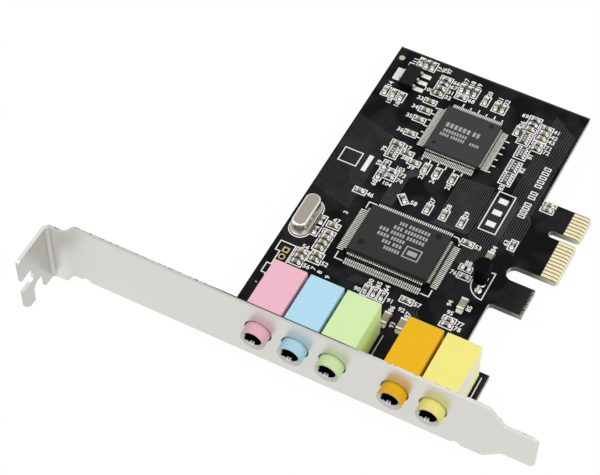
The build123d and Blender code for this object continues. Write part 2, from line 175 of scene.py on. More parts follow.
def grain_effect():
    """Node group: mottles a colour and a roughness with noise, and gives its height."""
    inputs = (("Colour", "Color"), ("Spread", "Float"), ("Rough", "Float"), ("Rough spread", "Float"),
              ("Scale", "Float"))
    outputs = (("Colour", "Color"), ("Rough", "Float"), ("Height", "Float"))
    group, start, end = effect_group("grain", inputs, outputs)
    height = noise(group, start.outputs["Scale"], 5.0)
    swing = ramp(group, height, 0.3, 0.7, -1.0)
    change = maths(group, "MULTIPLY_ADD", swing, start.outputs["Spread"], 1.0)
    group.links.new(shaded(group, start.outputs["Colour"], change), end.inputs["Colour"])
    change = maths(group, "MULTIPLY_ADD", swing, start.outputs["Rough spread"], 1.0)
    group.links.new(maths(group, "MULTIPLY", start.outputs["Rough"], change), end.inputs["Rough"])
    group.links.new(height, end.inputs["Height"])
    return group


GRAIN = grain_effect()


def grained(name, colour, rough, scale=2500.0, spread=0.08, bump=0.1, metal=0.0, spec=0.5, edge=0.0):
    """Finish with mottled colour, uneven gloss and a fine bump; edge softens corners, in mm."""
    mat = bpy.data.materials.new(name)
    mat.use_nodes = True
    tree = mat.node_tree
    shader = tree.nodes["Principled BSDF"]
    shader.inputs["Metallic"].default_value = metal
    shader.inputs["Specular IOR Level"].default_value = spec
    grain = tree.nodes.new("ShaderNodeGroup")
    grain.name = "grain"
    grain.node_tree = GRAIN
    grain.inputs["Colour"].default_value = (*colour, 1.0)
    grain.inputs["Spread"].default_value = spread
    grain.inputs["Rough"].default_value = rough
    grain.inputs["Rough spread"].default_value = 0.15
    grain.inputs["Scale"].default_value = scale
    tree.links.new(grain.outputs["Colour"], shader.inputs["Base Color"])
    tree.links.new(grain.outputs["Rough"], shader.inputs["Roughness"])
    relief = tree.nodes.new("ShaderNodeBump")
    relief.inputs["Strength"].default_value = bump
    relief.inputs["Distance"].default_value = 0.05 * MM
    tree.links.new(grain.outputs["Height"], relief.inputs["Height"])
    if edge:
        soft = tree.nodes.new("ShaderNodeBevel")
        soft.samples = 6
        soft.inputs["Radius"].default_value = edge * MM
        tree.links.new(soft.outputs["Normal"], relief.inputs["Normal"])
    tree.links.new(relief.outputs["Normal"], shader.inputs["Normal"])
    return mat


def recolour(mat, colour):
    """Puts another colour over a finish."""
    tree = mat.node_tree
    tree.links.new(colour, tree.nodes["Principled BSDF"].inputs["Base Color"])
    return mat


def dress(mat, *names):
    """Gives CAD nodes their finish."""
    for name in names:
        nodes[name].data.materials.clear()
        nodes[name].data.materials.append(mat)


def board_finish():
    """Mask with lighter pours; its rims, the hook, the cut edges and the bevel show laminate, and cut
    walls along Y get painted shade.
    """
    mat = grained("black_solder_mask", MASK_BLACK, 0.42, 700.0, 0.25, 0.08, spec=0.06)
    tree = mat.node_tree
    way = axes(tree, "NewGeometry", "True Normal")
    spot = axes(tree, "TexCoord", "Object")
    depth = ramp(tree, noise(tree, POUR_SCALE, 1.0), 0.44, 0.56, POUR_DARK, POUR_LIGHT)
    colour = shaded(tree, tree.nodes["grain"].outputs["Colour"], depth)
    on_hook = maths(tree, "COMPARE", spot["Y"], HOOK_MID, HOOK_HALF)
    worn = maths(tree, "MULTIPLY", on_hook, ramp(tree, spot["X"], WORN_FROM, WORN_FULL))
    colour = blend_colour(tree, worn, colour, HOOK_WORN)
    far_rim = maths(tree, "GREATER_THAN", spot["Y"], BOARD_HIGH.y - RIM)
    wing_rim = maths(tree, "MULTIPLY", maths(tree, "GREATER_THAN", spot["X"], WING_EDGE - RIM),
                     maths(tree, "LESS_THAN", spot["Y"], WING_BACK))
    colour = blend_colour(tree, maths(tree, "MAXIMUM", far_rim, wing_rim), colour, RIM_OLIVE)
    bare = maths(tree, "MULTIPLY", maths(tree, "GREATER_THAN", spot["X"], MASK_END),
                 maths(tree, "GREATER_THAN", spot["Y"], CONTACT_SIDE))
    colour = blend_colour(tree, bare, colour, FINGER_GAP)
    snapped = maths(tree, "MULTIPLY", on_hook, ramp(tree, spot["X"], SNAP_FROM, HOOK_EDGE))
    snapped = maths(tree, "MULTIPLY", snapped, ramp(tree, noise(tree, SNAP_SCALE), 0.44, 0.62))
    colour = blend_colour(tree, snapped, colour, LAMINATE)
    glass = blend_colour(tree, noise(tree, 1.0, stretch=GLASS_LAYERS), LAMINATE_DARK, LAMINATE)
    # painted shade on the cut walls facing along Y, fading out near the tip
    side = blend_colour(tree, ramp(tree, spot["X"], TIP_FROM, TIP_FULL), LAMINATE_SIDE_SHADE, LAMINATE_TIP)
    facing_y_shade = maths(tree, "GREATER_THAN", maths(tree, "ABSOLUTE", way["Y"]), 0.6)
    glass = blend_colour(tree, facing_y_shade, glass, side)
    upright = maths(tree, "LESS_THAN", maths(tree, "ABSOLUTE", way["Z"]), 0.5)
    colour = blend_colour(tree, upright, colour, glass)
    lip = maths(tree, "MULTIPLY", maths(tree, "GREATER_THAN", way["X"], 0.2),
                maths(tree, "GREATER_THAN", spot["X"], PLATING_END * MM))
    return recolour(mat, blend_colour(tree, lip, colour, BEVEL_PALE))


dress(board_finish(), "board")


# Copper tracks: bundles of parallel lines etched from the board's foil. They lie under the mask
# and show as slightly raised lines, a shade greyer than the rest. On the solder side they end in
# vias, which are drilled and plated.
TRACK_H = 0.018
TRACK_W = 0.18
TRACK_GREY = (0.058, 0.058, 0.061)
VIA_R = 0.3
VIA_EVERY = 3
SHARP = math.radians(35)
ZT, ZB = TOP / MM, BOTTOM / MM


def bar(bm, start, end, width, z0, z1, before=0.0, after=0.0):
    """Flat bar between two points of the board, in mm; before and after lengthen its ends."""
    a, b = Vector(start), Vector(end)
    way = (b - a).normalized()
    a, b = a - way * before, b + way * after
    size = ((b - a).length, width, z1 - z0)
    mid = (*((a + b) / 2), (z0 + z1) / 2)
    turn = Matrix.Rotation(math.atan2(way.y, way.x), 4, "Z")
    place = Matrix.Scale(MM, 4) @ Matrix.Translation(mid) @ turn @ Matrix.Diagonal((*size, 1.0))
    return bmesh.ops.create_cube(bm, size=1.0, matrix=place)["verts"]


def path(bm, points, width, z0, z1, closed=False):
    """Bars end to end along points, in mm; each covers its first corner and leaves its last."""
    points = list(points) + ([points[0]] if closed else [])
    last = len(points) - 2
    for i, (start, end) in enumerate(zip(points, points[1:])):
        open_end = i == last and not closed
        bar(bm, start, end, width, z0, z1, width / 2, width / 2 if open_end else -width / 2)


def finished(bm, name, mat, sharp=SHARP):
    """Makes the mesh a piece of the card, smooth up to the angle of its sharp edges."""
    bmesh.ops.recalc_face_normals(bm, faces=bm.faces)
    mesh = bpy.data.meshes.new(name)
    bm.to_mesh(mesh)
    bm.free()
    mesh.shade_smooth()
    mesh.set_sharp_from_angle(angle=sharp)
    piece = bpy.data.objects.new(name, mesh)
    bpy.context.scene.collection.objects.link(piece)
    mesh.materials.append(mat)
    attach(piece, "root")
    return piece


def via(bm, at):
    """Round copper land on the solder side, over a drilled hole that the mask has filled."""
    place = Matrix.Translation((at[0] * MM, at[1] * MM, (ZB - TRACK_H / 2) * MM))
    bmesh.ops.create_cone(bm, cap_ends=True, segments=10, radius1=VIA_R * MM, radius2=VIA_R * MM,
                          depth=TRACK_H * MM, matrix=place)


def bundle(bm, points, count, step, width=TRACK_W, side=1):
    """Parallel tracks on one side of the board, in mm, each next one shifted by step."""
    low, high = (ZT, ZT + TRACK_H) if side > 0 else (ZB - TRACK_H, ZB)
    shift = Vector(step)
    for i in range(count):
        route = [Vector(p) + shift * i for p in points]
        path(bm, route, width, low, high)
        if i % VIA_EVERY == 0 and side < 0:
            via(bm, route[0])
            via(bm, route[-1])


tracks = bmesh.new()
bundle(tracks, [(-61.4, 12.0), (-61.4, -12.2)], 24, (0.43, -0.12), 0.1)
bundle(tracks, [(-31.8, 5.4), (-31.8, -8.8), (-32.6, -9.8)], 18, (0.48, 0.04))
bundle(tracks, [(-23.0, 5.0), (-23.0, -15.0), (-23.6, -17.0)], 13, (0.52, -0.1))
bundle(tracks, [(-19.2, 32.6), (-19.2, 6.0), (-18.2, 4.4), (-18.2, -6.0)], 12, (0.55, -0.35))
bundle(tracks, [(-43.2, 6.4), (-43.2, 2.0), (-45.4, -0.4), (-45.4, -9.6)], 7, (0.44, 0.0))
bundle(tracks, [(-41.4, -30.9), (-41.4, -31.6), (-42.4, -33.0)], 13, (0.5, 0.03), 0.12)
bundle(tracks, [(-28.2, -31.4), (-28.2, -34.0), (-22.0, -40.4)], 6, (0.7, 0.0), 0.16)
bundle(tracks, [(-56.0, -8.0), (-30.0, -8.0), (-22.0, 0.0), (-22.0, 26.0)], 12, (0.6, 0.6), 0.25, -1)
bundle(tracks, [(-56.0, 20.0), (-42.0, 20.0), (-30.0, 32.0)], 9, (0.0, -1.2), 0.25, -1)
bundle(tracks, [(-4.9, -11.5), (-12.0, -11.5), (-26.0, -25.0), (-26.0, -42.0)], 10, (0.0, 1.0),
       0.24, -1)
track_black = grained("mask_over_copper", TRACK_GREY, 0.36, 900.0, 0.2, 0.06, spec=0.15)
finished(tracks, "copper_tracks", track_black)


# Edge contacts: copper pads plated with hard gold, with a mottled finish. The
# plating runs on over the start of the bevel.
GOLD = (0.88, 0.79, 0.53)
BEVEL_FALL = 0.35
gold = grained("contact_gold", GOLD, 0.30, 1800.0, 0.10, 0.05, metal=0.9)
dress(gold, "contacts_component_side", "contacts_solder_side")


def solids_of(name):
    """Lowest and highest corner of every separate solid of a CAD node, in mm."""
    bm = bmesh.new()
    bm.from_mesh(nodes[name].data)
    bmesh.ops.remove_doubles(bm, verts=bm.verts, dist=1e-6)
    found, seen = [], set()
    for first in bm.verts:
        if first in seen:
            continue
        seen.add(first)
        group, ready = [], [first]
        while ready:
            vert = ready.pop()
            group.append(vert.co / MM)
            for edge in vert.link_edges:
                other = edge.other_vert(vert)
                if other not in seen:
                    seen.add(other)
                    ready.append(other)
        low = Vector([min(c[i] for c in group) for i in range(3)])
        high = Vector([max(c[i] for c in group) for i in range(3)])
        found.append((low, high))
    bm.free()
    return found


plating = bmesh.new()
for name, side in (("contacts_component_side", 1), ("contacts_solder_side", -1)):
    for low, high in solids_of(name):
        y = (low.y + high.y) / 2
        for vert in bar(plating, (high.x, y), (PLATING_END, y), high.y - low.y, low.z, high.z):
            vert.co.z -= side * BEVEL_FALL * (vert.co.x - high.x * MM)
finished(plating, "contact_plating", gold)


# Solder and pads: every lead and end cap sits on a tinned pad, with a fillet of solder that
# climbs its end, and every pin has a cone of solder below the board. Their places are read from
# the leads, caps and pins themselves.
TIN = (0.82, 0.81, 0.77)
LEAD_TIN = (0.70, 0.69, 0.66)
PAD_TIN = (0.94, 0.92, 0.85)
PAD_H = 0.035
PAD_BEHIND = 0.95
PAD_BEYOND = 0.75
AUDIO_PAD_W = 0.23
BRIDGE_PAD_W = 0.19
EMPTY_PLACES = ((Vector((-20.0, -17.9)), 0.0),)
EMPTY_PAD = (0.35, 1.15)
EMPTY_PAD_W = 1.0
EMPTY_PAD_H = 0.05
tin = grained("bright_tin", TIN, 0.32, 1500.0, 0.08, 0.1, metal=0.5)
lead_tin = grained("plated_lead", LEAD_TIN, 0.32, 2500.0, 0.08, 0.1, metal=0.85)
pad_tin = grained("pad_tin", PAD_TIN, 0.32, 1500.0, 0.08, 0.1, metal=0.4)


def middle(name):
    """Middle of a CAD node on the board, in mm."""
    low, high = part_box(name)
    return (low + high).to_2d() / 2 / MM


def lead_pads(bm, leads, body, width):
    """Pads under a package's leads, reaching beyond their tips."""
    mid = middle(body)
    for a, b in solids_of(leads):
        centre = (a + b) / 2
        axis = 0 if b.x - a.x > b.y - a.y else 1
        way = math.copysign(1, centre[axis] - mid[axis])
        tip = b[axis] if way > 0 else a[axis]
        start, end = centre.to_2d(), centre.to_2d()
        start[axis] = tip - PAD_BEHIND * way
        end[axis] = tip + PAD_BEYOND * way
        bar(bm, start, end, width, ZT, ZT + PAD_H)


pads = bmesh.new()
for at, turn in EMPTY_PLACES:
    for way in (-1, 1):
        along = Matrix.Rotation(turn, 2) @ Vector((way, 0.0))
        start, end = (at + along * reach for reach in EMPTY_PAD)
        bar(pads, start, end, EMPTY_PAD_W, ZT, ZT + EMPTY_PAD_H)
lead_pads(pads, "audio_chip_leads", "audio_chip_body", AUDIO_PAD_W)
lead_pads(pads, "bridge_chip_leads", "bridge_chip_body", BRIDGE_PAD_W)
finished(pads, "package_pads", pad_tin)

CHIPS = {"small_capacitor": (1.6, 0.8, 0.75), "resistor": (1.6, 0.8, 0.45),
         "large_capacitor": (3.2, 1.6, 1.15)}
ARRAY_HALF = 0.8
ARRAY_PITCH = 0.8
ARRAY_SOLDER = (0.35, 0.5, 0.28)
SOLDER_LAP = 0.15
SOLDER_TOE = 0.05
SOLDER_TAPER = 0.75


def chip_places(bodies):
    """Middle and turn of every surface part; one whose box is square is turned by 45 degrees."""
    found = []
    for low, high in solids_of(bodies):
        size = high - low
        if abs(size.x - size.y) < 0.15:
            turn = -math.pi / 4
        else:
            turn = 0.0 if size.x > size.y else math.pi / 2
        found.append((((low + high) / 2).to_2d(), turn))
    return found


def soften(bm, verts, offset, segments):
    """Bevels every edge of a block, offset in mm."""
    edges = dict.fromkeys(edge for vert in verts for edge in vert.link_edges)
    bmesh.ops.bevel(bm, geom=list(edges), offset=offset * MM, affect="EDGES", segments=segments,
                    profile=0.5, material=-1)


def fillet_of_solder(bm, at, turn, start, reach, width, climb):
    """Wedge of solder that leans on an end face and thins out along the pad."""
    place = Matrix.Translation((*at, ZT)) @ Matrix.Rotation(turn, 4, "Z")
    centre = Matrix.Translation((start + reach / 2 - SOLDER_LAP, 0, climb / 2))
    place = Matrix.Scale(MM, 4) @ place @ centre
    size = Matrix.Diagonal((reach + 2 * SOLDER_LAP, width, climb, 1.0))
    verts = bmesh.ops.create_cube(bm, size=1.0, matrix=place @ size)["verts"]
    inner = place.inverted()
    for vert in verts:
        spot = inner @ vert.co
        if spot.x > 0 and spot.z > 0:
            vert.co = place @ Vector((spot.x, spot.y * SOLDER_TAPER, SOLDER_TOE - climb / 2))
    soften(bm, verts, 0.06, 1)


chip_at = {kind: chip_places(kind + "_bodies") for kind in CHIPS}
array_at = chip_places("array_bodies")
joints = bmesh.new()
for kind, (length, width, high) in CHIPS.items():
    for at, turn in chip_at[kind]:
        for flip in (0.0, math.pi):
            reach = 0.2 + length / 8
            fillet_of_solder(joints, at, turn + flip, length / 2, reach, width + 0.1, 0.6 * high)
for at, turn in array_at:
    for flip in (0.0, math.pi):
        for i in range(4):
            spot = at + Vector((0.0, (i - 1.5) * ARRAY_PITCH))
            fillet_of_solder(joints, spot, flip, ARRAY_HALF, *ARRAY_SOLDER)

JACKS = [f"jack_{i}" for i in range(1, 6)]
JACK_TAILS = ((-0.45, 6.85), (0.45, 9.05), (0.0, 12.85))
BRACKET_SHEET = 0.86
CONE_BELOW = [(0.15, -0.95), (0.34, -0.9), (0.42, -0.45), (0.9, -0.06), (0.95, 0.0), (0.15, 0.0)]
CONE_ABOVE = [(0.2, 0.0), (0.85, 0.0), (0.8, 0.06), (0.45, 0.2), (0.3, 0.5), (0.2, 0.5)]
plate_y = max(solids_of("bracket"), key=lambda s: s[1].x)[1].y - BRACKET_SHEET


def turned(bm, profile, at, axis="Z", steps=24):
    """Spins a closed profile of (radius, height) points round an axis through at, in mm."""
    origin = Matrix.Scale(MM, 4) @ Matrix.Translation(at)
    if axis == "Y":
        origin = origin @ Matrix.Rotation(math.radians(90), 4, "X")
    ring = [bm.verts.new(origin @ Vector((r, 0, h))) for r, h in profile]
    edges = [bm.edges.new(pair) for pair in zip(ring, ring[1:] + ring[:1])]
    way = (origin.to_3x3() @ Vector((0, 0, 1))).normalized()
    cent = origin @ Vector((0, 0, 0))
    bmesh.ops.spin(bm, geom=ring + edges, cent=cent, axis=way, angle=2 * math.pi, steps=steps,
                   use_merge=True, use_duplicate=False)


def pin_places(name):
    """Middle of every pin of a CAD node, on the board."""
    return [((a + b) / 2).to_2d() for a, b in solids_of(name)]


transistor_legs = pin_places("transistor_pins")
pins = pin_places("crystal_pins") + transistor_legs
for name in JACKS:
    for dx, dy in JACK_TAILS:
        pins.append(Vector((middle(name + "_housing").x + dx, plate_y + dy)))
for spot in pins:
    turned(joints, CONE_BELOW, (*spot, ZB), steps=14)
for spot in transistor_legs:
    turned(joints, CONE_ABOVE, (*spot, ZT), steps=14)
finished(joints, "solder_joints", tin)


# Legend: white ink screened on the board, with frames round the parts, corner marks of the
# packages, outlines of crystal, transistor and header, lines beside the jacks, and plain
# numbers and fields.
INK_H = 0.022
LINE = 0.27
FINE_LINE = 0.25
INK_WHITE = (0.86, 0.86, 0.83)
CLEARANCE = 0.9
HEADER_ROOM = (-61.0, -40.7, -56.4, -29.8)
SMALL_FRAME = (3.1, 1.65)
ARRAY_FRAME = (3.8, 2.9)
LARGE_ROOM = (4.6, 2.0)
legend = bmesh.new()


def ink(points, width=LINE, closed=False):
    """Inked line along points of the board, in mm."""
    path(legend, points, width, ZT, ZT + INK_H, closed)


def ink_bar(start, end, width):
    """Inked bar between two points of the board, in mm."""
    bar(legend, start, end, width, ZT, ZT + INK_H)


def ink_box(at, turn, length, width):
    """Frame round a part that is turned on the board."""
    spin = Matrix.Rotation(turn, 2)
    corners = [(1, 1), (-1, 1), (-1, -1), (1, -1)]
    ink([at + spin @ Vector((sx * length / 2, sy * width / 2)) for sx, sy in corners], closed=True)


def arc(at, radius, start, end, steps=20):
    """Points along an arc, angles in degrees."""
    angles = [math.radians(start + (end - start) * i / steps) for i in range(steps + 1)]
    return [(at[0] + radius * math.cos(a), at[1] + radius * math.sin(a)) for a in angles]


def is_upright(turn):
    """Whether a part stands across the rows of the board."""
    return abs(turn - math.pi / 2) < 0.1


def around(at, half):
    """Rectangle round a point: low x, low y, high x and high y."""
    return (at.x - half.x, at.y - half.y, at.x + half.x, at.y + half.y)


taken = [HEADER_ROOM]
for name in ("audio_chip_leads", "bridge_chip_leads", "crystal_can", "regulator_body",
             "regulator_leads", "regulator_tab", "transistor_body", *[j + "_housing" for j in JACKS]):
    low, high = (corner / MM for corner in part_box(name))
    taken.append((low.x - CLEARANCE, low.y - CLEARANCE, high.x + CLEARANCE, high.y + CLEARANCE))
frames = [(at, turn, *SMALL_FRAME) for at, turn in chip_at["small_capacitor"] + chip_at["resistor"]]
frames += [(at, turn, *ARRAY_FRAME) for at, turn in array_at]
frames += [(at, turn, *LARGE_ROOM) for at, turn in chip_at["large_capacitor"]]
frames += [(at, turn, *SMALL_FRAME) for at, turn in EMPTY_PLACES]
for at, turn, length, width in frames:
    if (length, width) != LARGE_ROOM:
        ink_box(at, turn, length, width)
    half = Vector((width, length)) / 2 if is_upright(turn) else Vector((length, width)) / 2
    taken.append(around(at, half))

NUMBER_SIDE = 0.6
PART_NUMBER = (1.7, 0.92)
GROUP_NUMBER = (1.6, 0.9)
FIRST_PART = 11
SINGLE_DIGITS = 9
LEGEND_EDGE = 0.3
LEGEND_RIGHT = -12.6


def free_place(low_x, low_y, high_x, high_y):
    """Whether a rectangle of the board holds no part, frame or number yet."""
    if low_x < BOARD_LOW.x / MM + LEGEND_EDGE or high_y > BOARD_HIGH.y / MM - LEGEND_EDGE:
        return False
    if high_x > LEGEND_RIGHT:
        return False
    return all(high_x < a or low_x > c or high_y < b or low_y > d for a, b, c, d in taken)


def ink_number(text, at, turn, size):
    """Plain number in white ink, middle at a point."""
    words = bpy.data.curves.new("number", "FONT")
    words.body = text
    words.size = 1.0
    words.resolution_u = 2
    words.extrude = 0.5
    words.offset = 0.022
    words.align_x, words.align_y = "CENTER", "CENTER"
    shown = bpy.data.objects.new("number", words)
    mesh = bpy.data.meshes.new_from_object(shown)
    place = Matrix.Scale(MM, 4) @ Matrix.Translation((*at, ZT + INK_H / 2))
    place = place @ Matrix.Rotation(turn, 4, "Z") @ Matrix.Diagonal((size, size, INK_H, 1.0))
    mesh.transform(place)
    legend.from_mesh(mesh)
    bpy.data.meshes.remove(mesh)
    bpy.data.objects.remove(shown)
    bpy.data.curves.remove(words)


def placed_number(number, at, stands, size, reach):
    """Inks a number if its place is free, and tells whether it was; reach is half its length."""
    half = Vector((NUMBER_SIDE, reach)) if stands else Vector((reach, NUMBER_SIDE))
    room = around(at, half)
    if not free_place(*room):
        return False
    ink_number(str(number), at, math.pi / 2 if stands else 0.0, size)
    taken.append(room)
    return True


for index, (at, turn, length, width) in enumerate(frames):
    along, across = length / 2 + 1.0, width / 2 + 0.72
    sides = ((along + 0.1, 0), (-along - 0.1, 0), (0, -across), (0, across))
    if is_upright(turn):
        sides = ((0, along), (0, -along), (across, 0), (-across, 0))
    for side in sides:
        if placed_number(index + FIRST_PART, at + Vector(side), is_upright(turn), *PART_NUMBER):
            break

# numbers of the groups, where there is room for them beside the parts: x, y and whether it stands
GROUP_PLACES = (
    (-57.3, -16.3, 1), (-54.7, -17.9, 1), (-51.1, -16.2, 1), (-55.8, -28.9, 1), (-55.0, -27.1, 1),
    (-52.0, -34.1, 1), (-50.4, -33.8, 1), (-48.7, -34.1, 1), (-46.5, -34.5, 1), (-48.8, -30.0, 0),
    (-39.2, -34.3, 0), (-31.2, -33.9, 0), (-27.9, -34.9, 0), (-27.9, -39.4, 1), (-19.1, -28.2, 1),
    (-18.0, -30.6, 0), (-49.4, 33.7, 1), (-48.1, 33.9, 1), (-50.5, 31.1, 0), (-50.9, 28.6, 0),
    (-50.3, 26.3, 0), (-44.6, 27.4, 0), (-51.9, 4.0, 1), (-45.6, 1.0, 0), (-46.5, -4.4, 0))
NEXT_NUMBER = FIRST_PART + len(frames)
for index, (x, y, stands) in enumerate(GROUP_PLACES):
    number = index + 1 if index < SINGLE_DIGITS else NEXT_NUMBER + index - SINGLE_DIGITS
    placed_number(number, Vector((x, y)), stands, *GROUP_NUMBER)

# corner marks and counting ticks of the packages, outlines of crystal, transistor and header
AUDIO_CORNER = Vector((11.75, 8.95))
CORNER_LEG = 1.9
FIRST_CORNER = ((9.8, 8.95), (10.9, 8.95), (11.8, 7.7), (11.8, 7.1))
BRIDGE_REACH = 9.3
TICK = 0.45
TICK_MORE = 0.35
TICK_FIRST = -6.0
TICK_PITCH = 2.05
TICK_W = 0.3
CRYSTAL_ENDS = Vector((0, 3.2))
CRYSTAL_RING = 2.62
TRANSISTOR_FLAT = Vector((2.15, 0))
TRANSISTOR_RING = 4.0
HEADER_LINE = (
    (-60.6, -30.15), (-56.75, -30.15), (-56.75, -40.3), (-59.5, -40.3), (-59.5, -39.9),
    (-60.6, -39.9), (-60.6, -37.1), (-59.5, -37.1), (-59.5, -32.95), (-60.6, -32.95))
audio = middle("audio_chip_body")
bridge = middle("bridge_chip_body")
crystal = middle("crystal_can")
stand = middle("transistor_body")
for sx, sy in ((-1, 1), (-1, -1), (1, -1)):
    corner = audio + Vector((sx * AUDIO_CORNER.x, sy * AUDIO_CORNER.y))
    ink([corner - Vector((sx * CORNER_LEG, 0)), corner, corner - Vector((0, sy * CORNER_LEG))])
ink([audio + Vector(p) for p in FIRST_CORNER])
for quarter in range(4):
    spin = Matrix.Rotation(quarter * math.pi / 2, 2)
    for i in range(6):
        shift = TICK_FIRST + TICK_PITCH * i
        ends = (BRIDGE_REACH, BRIDGE_REACH + TICK + TICK_MORE * (i % 2))
        ink([bridge + spin @ Vector((reach, shift)) for reach in ends], TICK_W)
far_end = arc(crystal + CRYSTAL_ENDS, CRYSTAL_RING, 0, 180)
near_end = arc(crystal - CRYSTAL_ENDS, CRYSTAL_RING, 180, 360)
ink(far_end + near_end, closed=True)
ink(arc(stand + TRANSISTOR_FLAT, TRANSISTOR_RING, 90, 270), closed=True)
ink(HEADER_LINE, closed=True)

# lines beside the jacks, a corner mark of the regulator and a dot
ink([(-28.5, -43.0), (-28.5, -55.4)], FINE_LINE)
ink([(-4.7, -43.0), (-4.7, -55.4)], FINE_LINE)
ink([(-57.9, 31.3), (-57.9, 32.2), (-56.8, 32.2)], 0.3)
ink([(-60.3, -43.0), (-60.1, -43.0)], FINE_LINE)

# plain fields: a bar, a square frame, a frame with three blocks and a row of small frames
FIELD_MID = Vector((-20.2, -0.2))
ROW_X = -14.9
ROW_GROUPS = ((0.9, 5.9, 4), (6.8, 9.6, 2), (10.6, 17.6, 5))
ROW_FRAME = (1.45, 0.72)
ink_bar((-53.2, -3.5), (-53.2, 1.6), 1.15)
ink_box(Vector((-57.6, -0.9)), 0.0, 4.6, 4.2)
ink_box(FIELD_MID, math.pi / 2, 12.0, 4.2)
for dy in (-3.6, 0.0, 3.6):
    ink_bar(FIELD_MID + Vector((-1.1, dy)), FIELD_MID + Vector((1.1, dy)), 1.5)
for start, end, count in ROW_GROUPS:
    for i in range(count):
        y = start + (end - start) * (i + 0.5) / count
        ink_box(Vector((ROW_X, y)), 0.0, *ROW_FRAME)
white_ink = grained("white_ink", INK_WHITE, 0.6, 3500.0, 0.06, 0.1, spec=0.3)
finished(legend, "legend", white_ink)


# Plated holes and targets: the empty header has four gold rings, the first one square, and
# a bare copper disc near the far corner is the target of the assembly machine.
HEADER_X = -58.36
HEADER_FIRST = -32.1
HEADER_PITCH = 2.1
SQUARE_HALF = 0.8
RING_IN = 0.5
RING_R = 0.84
RING_H = 0.03
HOLE_R = 0.46
HOLE_H = 0.04
RING_GOLD = (0.56, 0.44, 0.19)
TARGET_AT = (-60.34, 32.58)
TARGET_R = 0.75
TARGET_GOLD = (0.50, 0.49, 0.34)
# black discs over the header's holes are painted shadow; the same black serves the jack bores and screw
# recesses
HOLE_SHADOW_BLACK = (0.002, 0.002, 0.002)
rings, hole_shades, target = bmesh.new(), bmesh.new(), bmesh.new()
for i in range(4):
    y = HEADER_FIRST - HEADER_PITCH * i
    at = (HEADER_X, y, ZT)
    if i == 0:
        start, end = (HEADER_X - SQUARE_HALF, y), (HEADER_X + SQUARE_HALF, y)
        bar(rings, start, end, 2 * SQUARE_HALF, ZT, ZT + RING_H)
    else:
        turned(rings, [(RING_IN, 0.0), (RING_R, 0.0), (RING_R, RING_H), (RING_IN, RING_H)], at)
    turned(hole_shades, [(0.0, HOLE_H), (HOLE_R, HOLE_H), (HOLE_R, 0.0), (0.0, 0.0)], at)
disc = [(0.0, RING_H), (TARGET_R, RING_H), (TARGET_R, 0.0), (0.0, 0.0)]
turned(target, disc, (*TARGET_AT, ZT))
pale_gold = grained("pale_gold", TARGET_GOLD, 0.36, 1800.0, 0.10, 0.05, metal=0.5)
finished(target, "target_disc", pale_gold)
pad_gold = grained("pad_gold", RING_GOLD, 0.34, 1800.0, 0.12, 0.05, metal=0.9)
finished(rings, "gold_rings", pad_gold)
shade_black = grained("painted_shade_black", HOLE_SHADOW_BLACK, 0.9, 2000.0, 0.1, 0.05, spec=0.0)
finished(hole_shades, "hole_shadows", shade_black)


# Flat packages: black epoxy with a fine moulded grain, marked by laser. The marks here are
# plain bars, and two round ejector dimples sit near the corners. The leads are stamped, plated,
# bent down to the board and soldered.
EPOXY_WARM = (0.0185, 0.0182, 0.0165)
EPOXY_COOL = (0.027, 0.0265, 0.028)
LEAD_BRIGHT = (0.80, 0.785, 0.73)
# colour of the steep legs of the bent leads: painted shade
LEG_SHADE = (0.17, 0.155, 0.125)
LEAD_THICK = 0.15
LEAD_FOOT = 0.8
audio_epoxy = grained("audio_epoxy", EPOXY_WARM, 0.62, 5200.0, 0.22, 0.35, spec=0.25, edge=0.12)
dress(audio_epoxy, "audio_chip_body")
bridge_epoxy = grained("bridge_epoxy", EPOXY_COOL, 0.62, 5200.0, 0.22, 0.35, spec=0.33, edge=0.12)
dress(bridge_epoxy, "bridge_chip_body")


def lead_finish():
    """Plated lead whose steep legs are painted darker as painted shade."""
    mat = grained("bent_lead", LEAD_BRIGHT, 0.32, 2500.0, 0.08, 0.1, metal=0.85)
    tree = mat.node_tree
    steep_shade = maths(tree, "LESS_THAN", axes(tree, "NewGeometry", "True Normal")["Z"], 0.75)
    return recolour(mat, blend_colour(tree, steep_shade, tree.nodes["grain"].outputs["Colour"], LEG_SHADE))


bent_lead = lead_finish()


def bent_leads(name, body, level):
    """Leads that run level out of the body, drop steeply and end in a flat foot."""
    bm = bmesh.new()
    mid = middle(body)
    for a, b in solids_of(name):
        centre, size = (a + b) / 2, b - a
        along_x = size.x > size.y
        reach, width = (size.x, size.y) if along_x else (size.y, size.x)
        away = centre.to_2d() - mid
        turn = (0.0 if away.x > 0 else math.pi) if along_x else math.copysign(math.pi / 2, away.y)
        place = Matrix.Translation((centre.x, centre.y, ZT)) @ Matrix.Rotation(turn, 4, "Z")
        place = Matrix.Scale(MM, 4) @ place @ Matrix.Translation((-reach / 2, -width / 2, 0))
        up, heel = size.z, reach - LEAD_FOOT
        profile = [(0, up), (level, up), (level + 0.14, up - 0.06), (heel, LEAD_THICK + 0.05),
                   (heel + 0.1, LEAD_THICK), (reach, LEAD_THICK), (reach, 0), (heel - 0.05, 0),
                   (heel - 0.17, 0.1), (level - 0.06, up - LEAD_THICK), (0, up - LEAD_THICK)]
        side = bm.faces.new([bm.verts.new(place @ Vector((x, 0, z))) for x, z in profile])
        grown = bmesh.ops.extrude_face_region(bm, geom=[side], use_keep_orig=True)["geom"]
        shift = place.to_3x3() @ Vector((0, width, 0))
        bmesh.ops.translate(bm, verts=[v for v in grown if isinstance(v, bmesh.types.BMVert)], vec=shift)
    piece = finished(bm, name.replace("leads", "bent_leads"), bent_lead)
    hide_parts(name)


bent_leads("audio_chip_leads", "audio_chip_body", 0.5)
bent_leads("bridge_chip_leads", "bridge_chip_body", 0.25)

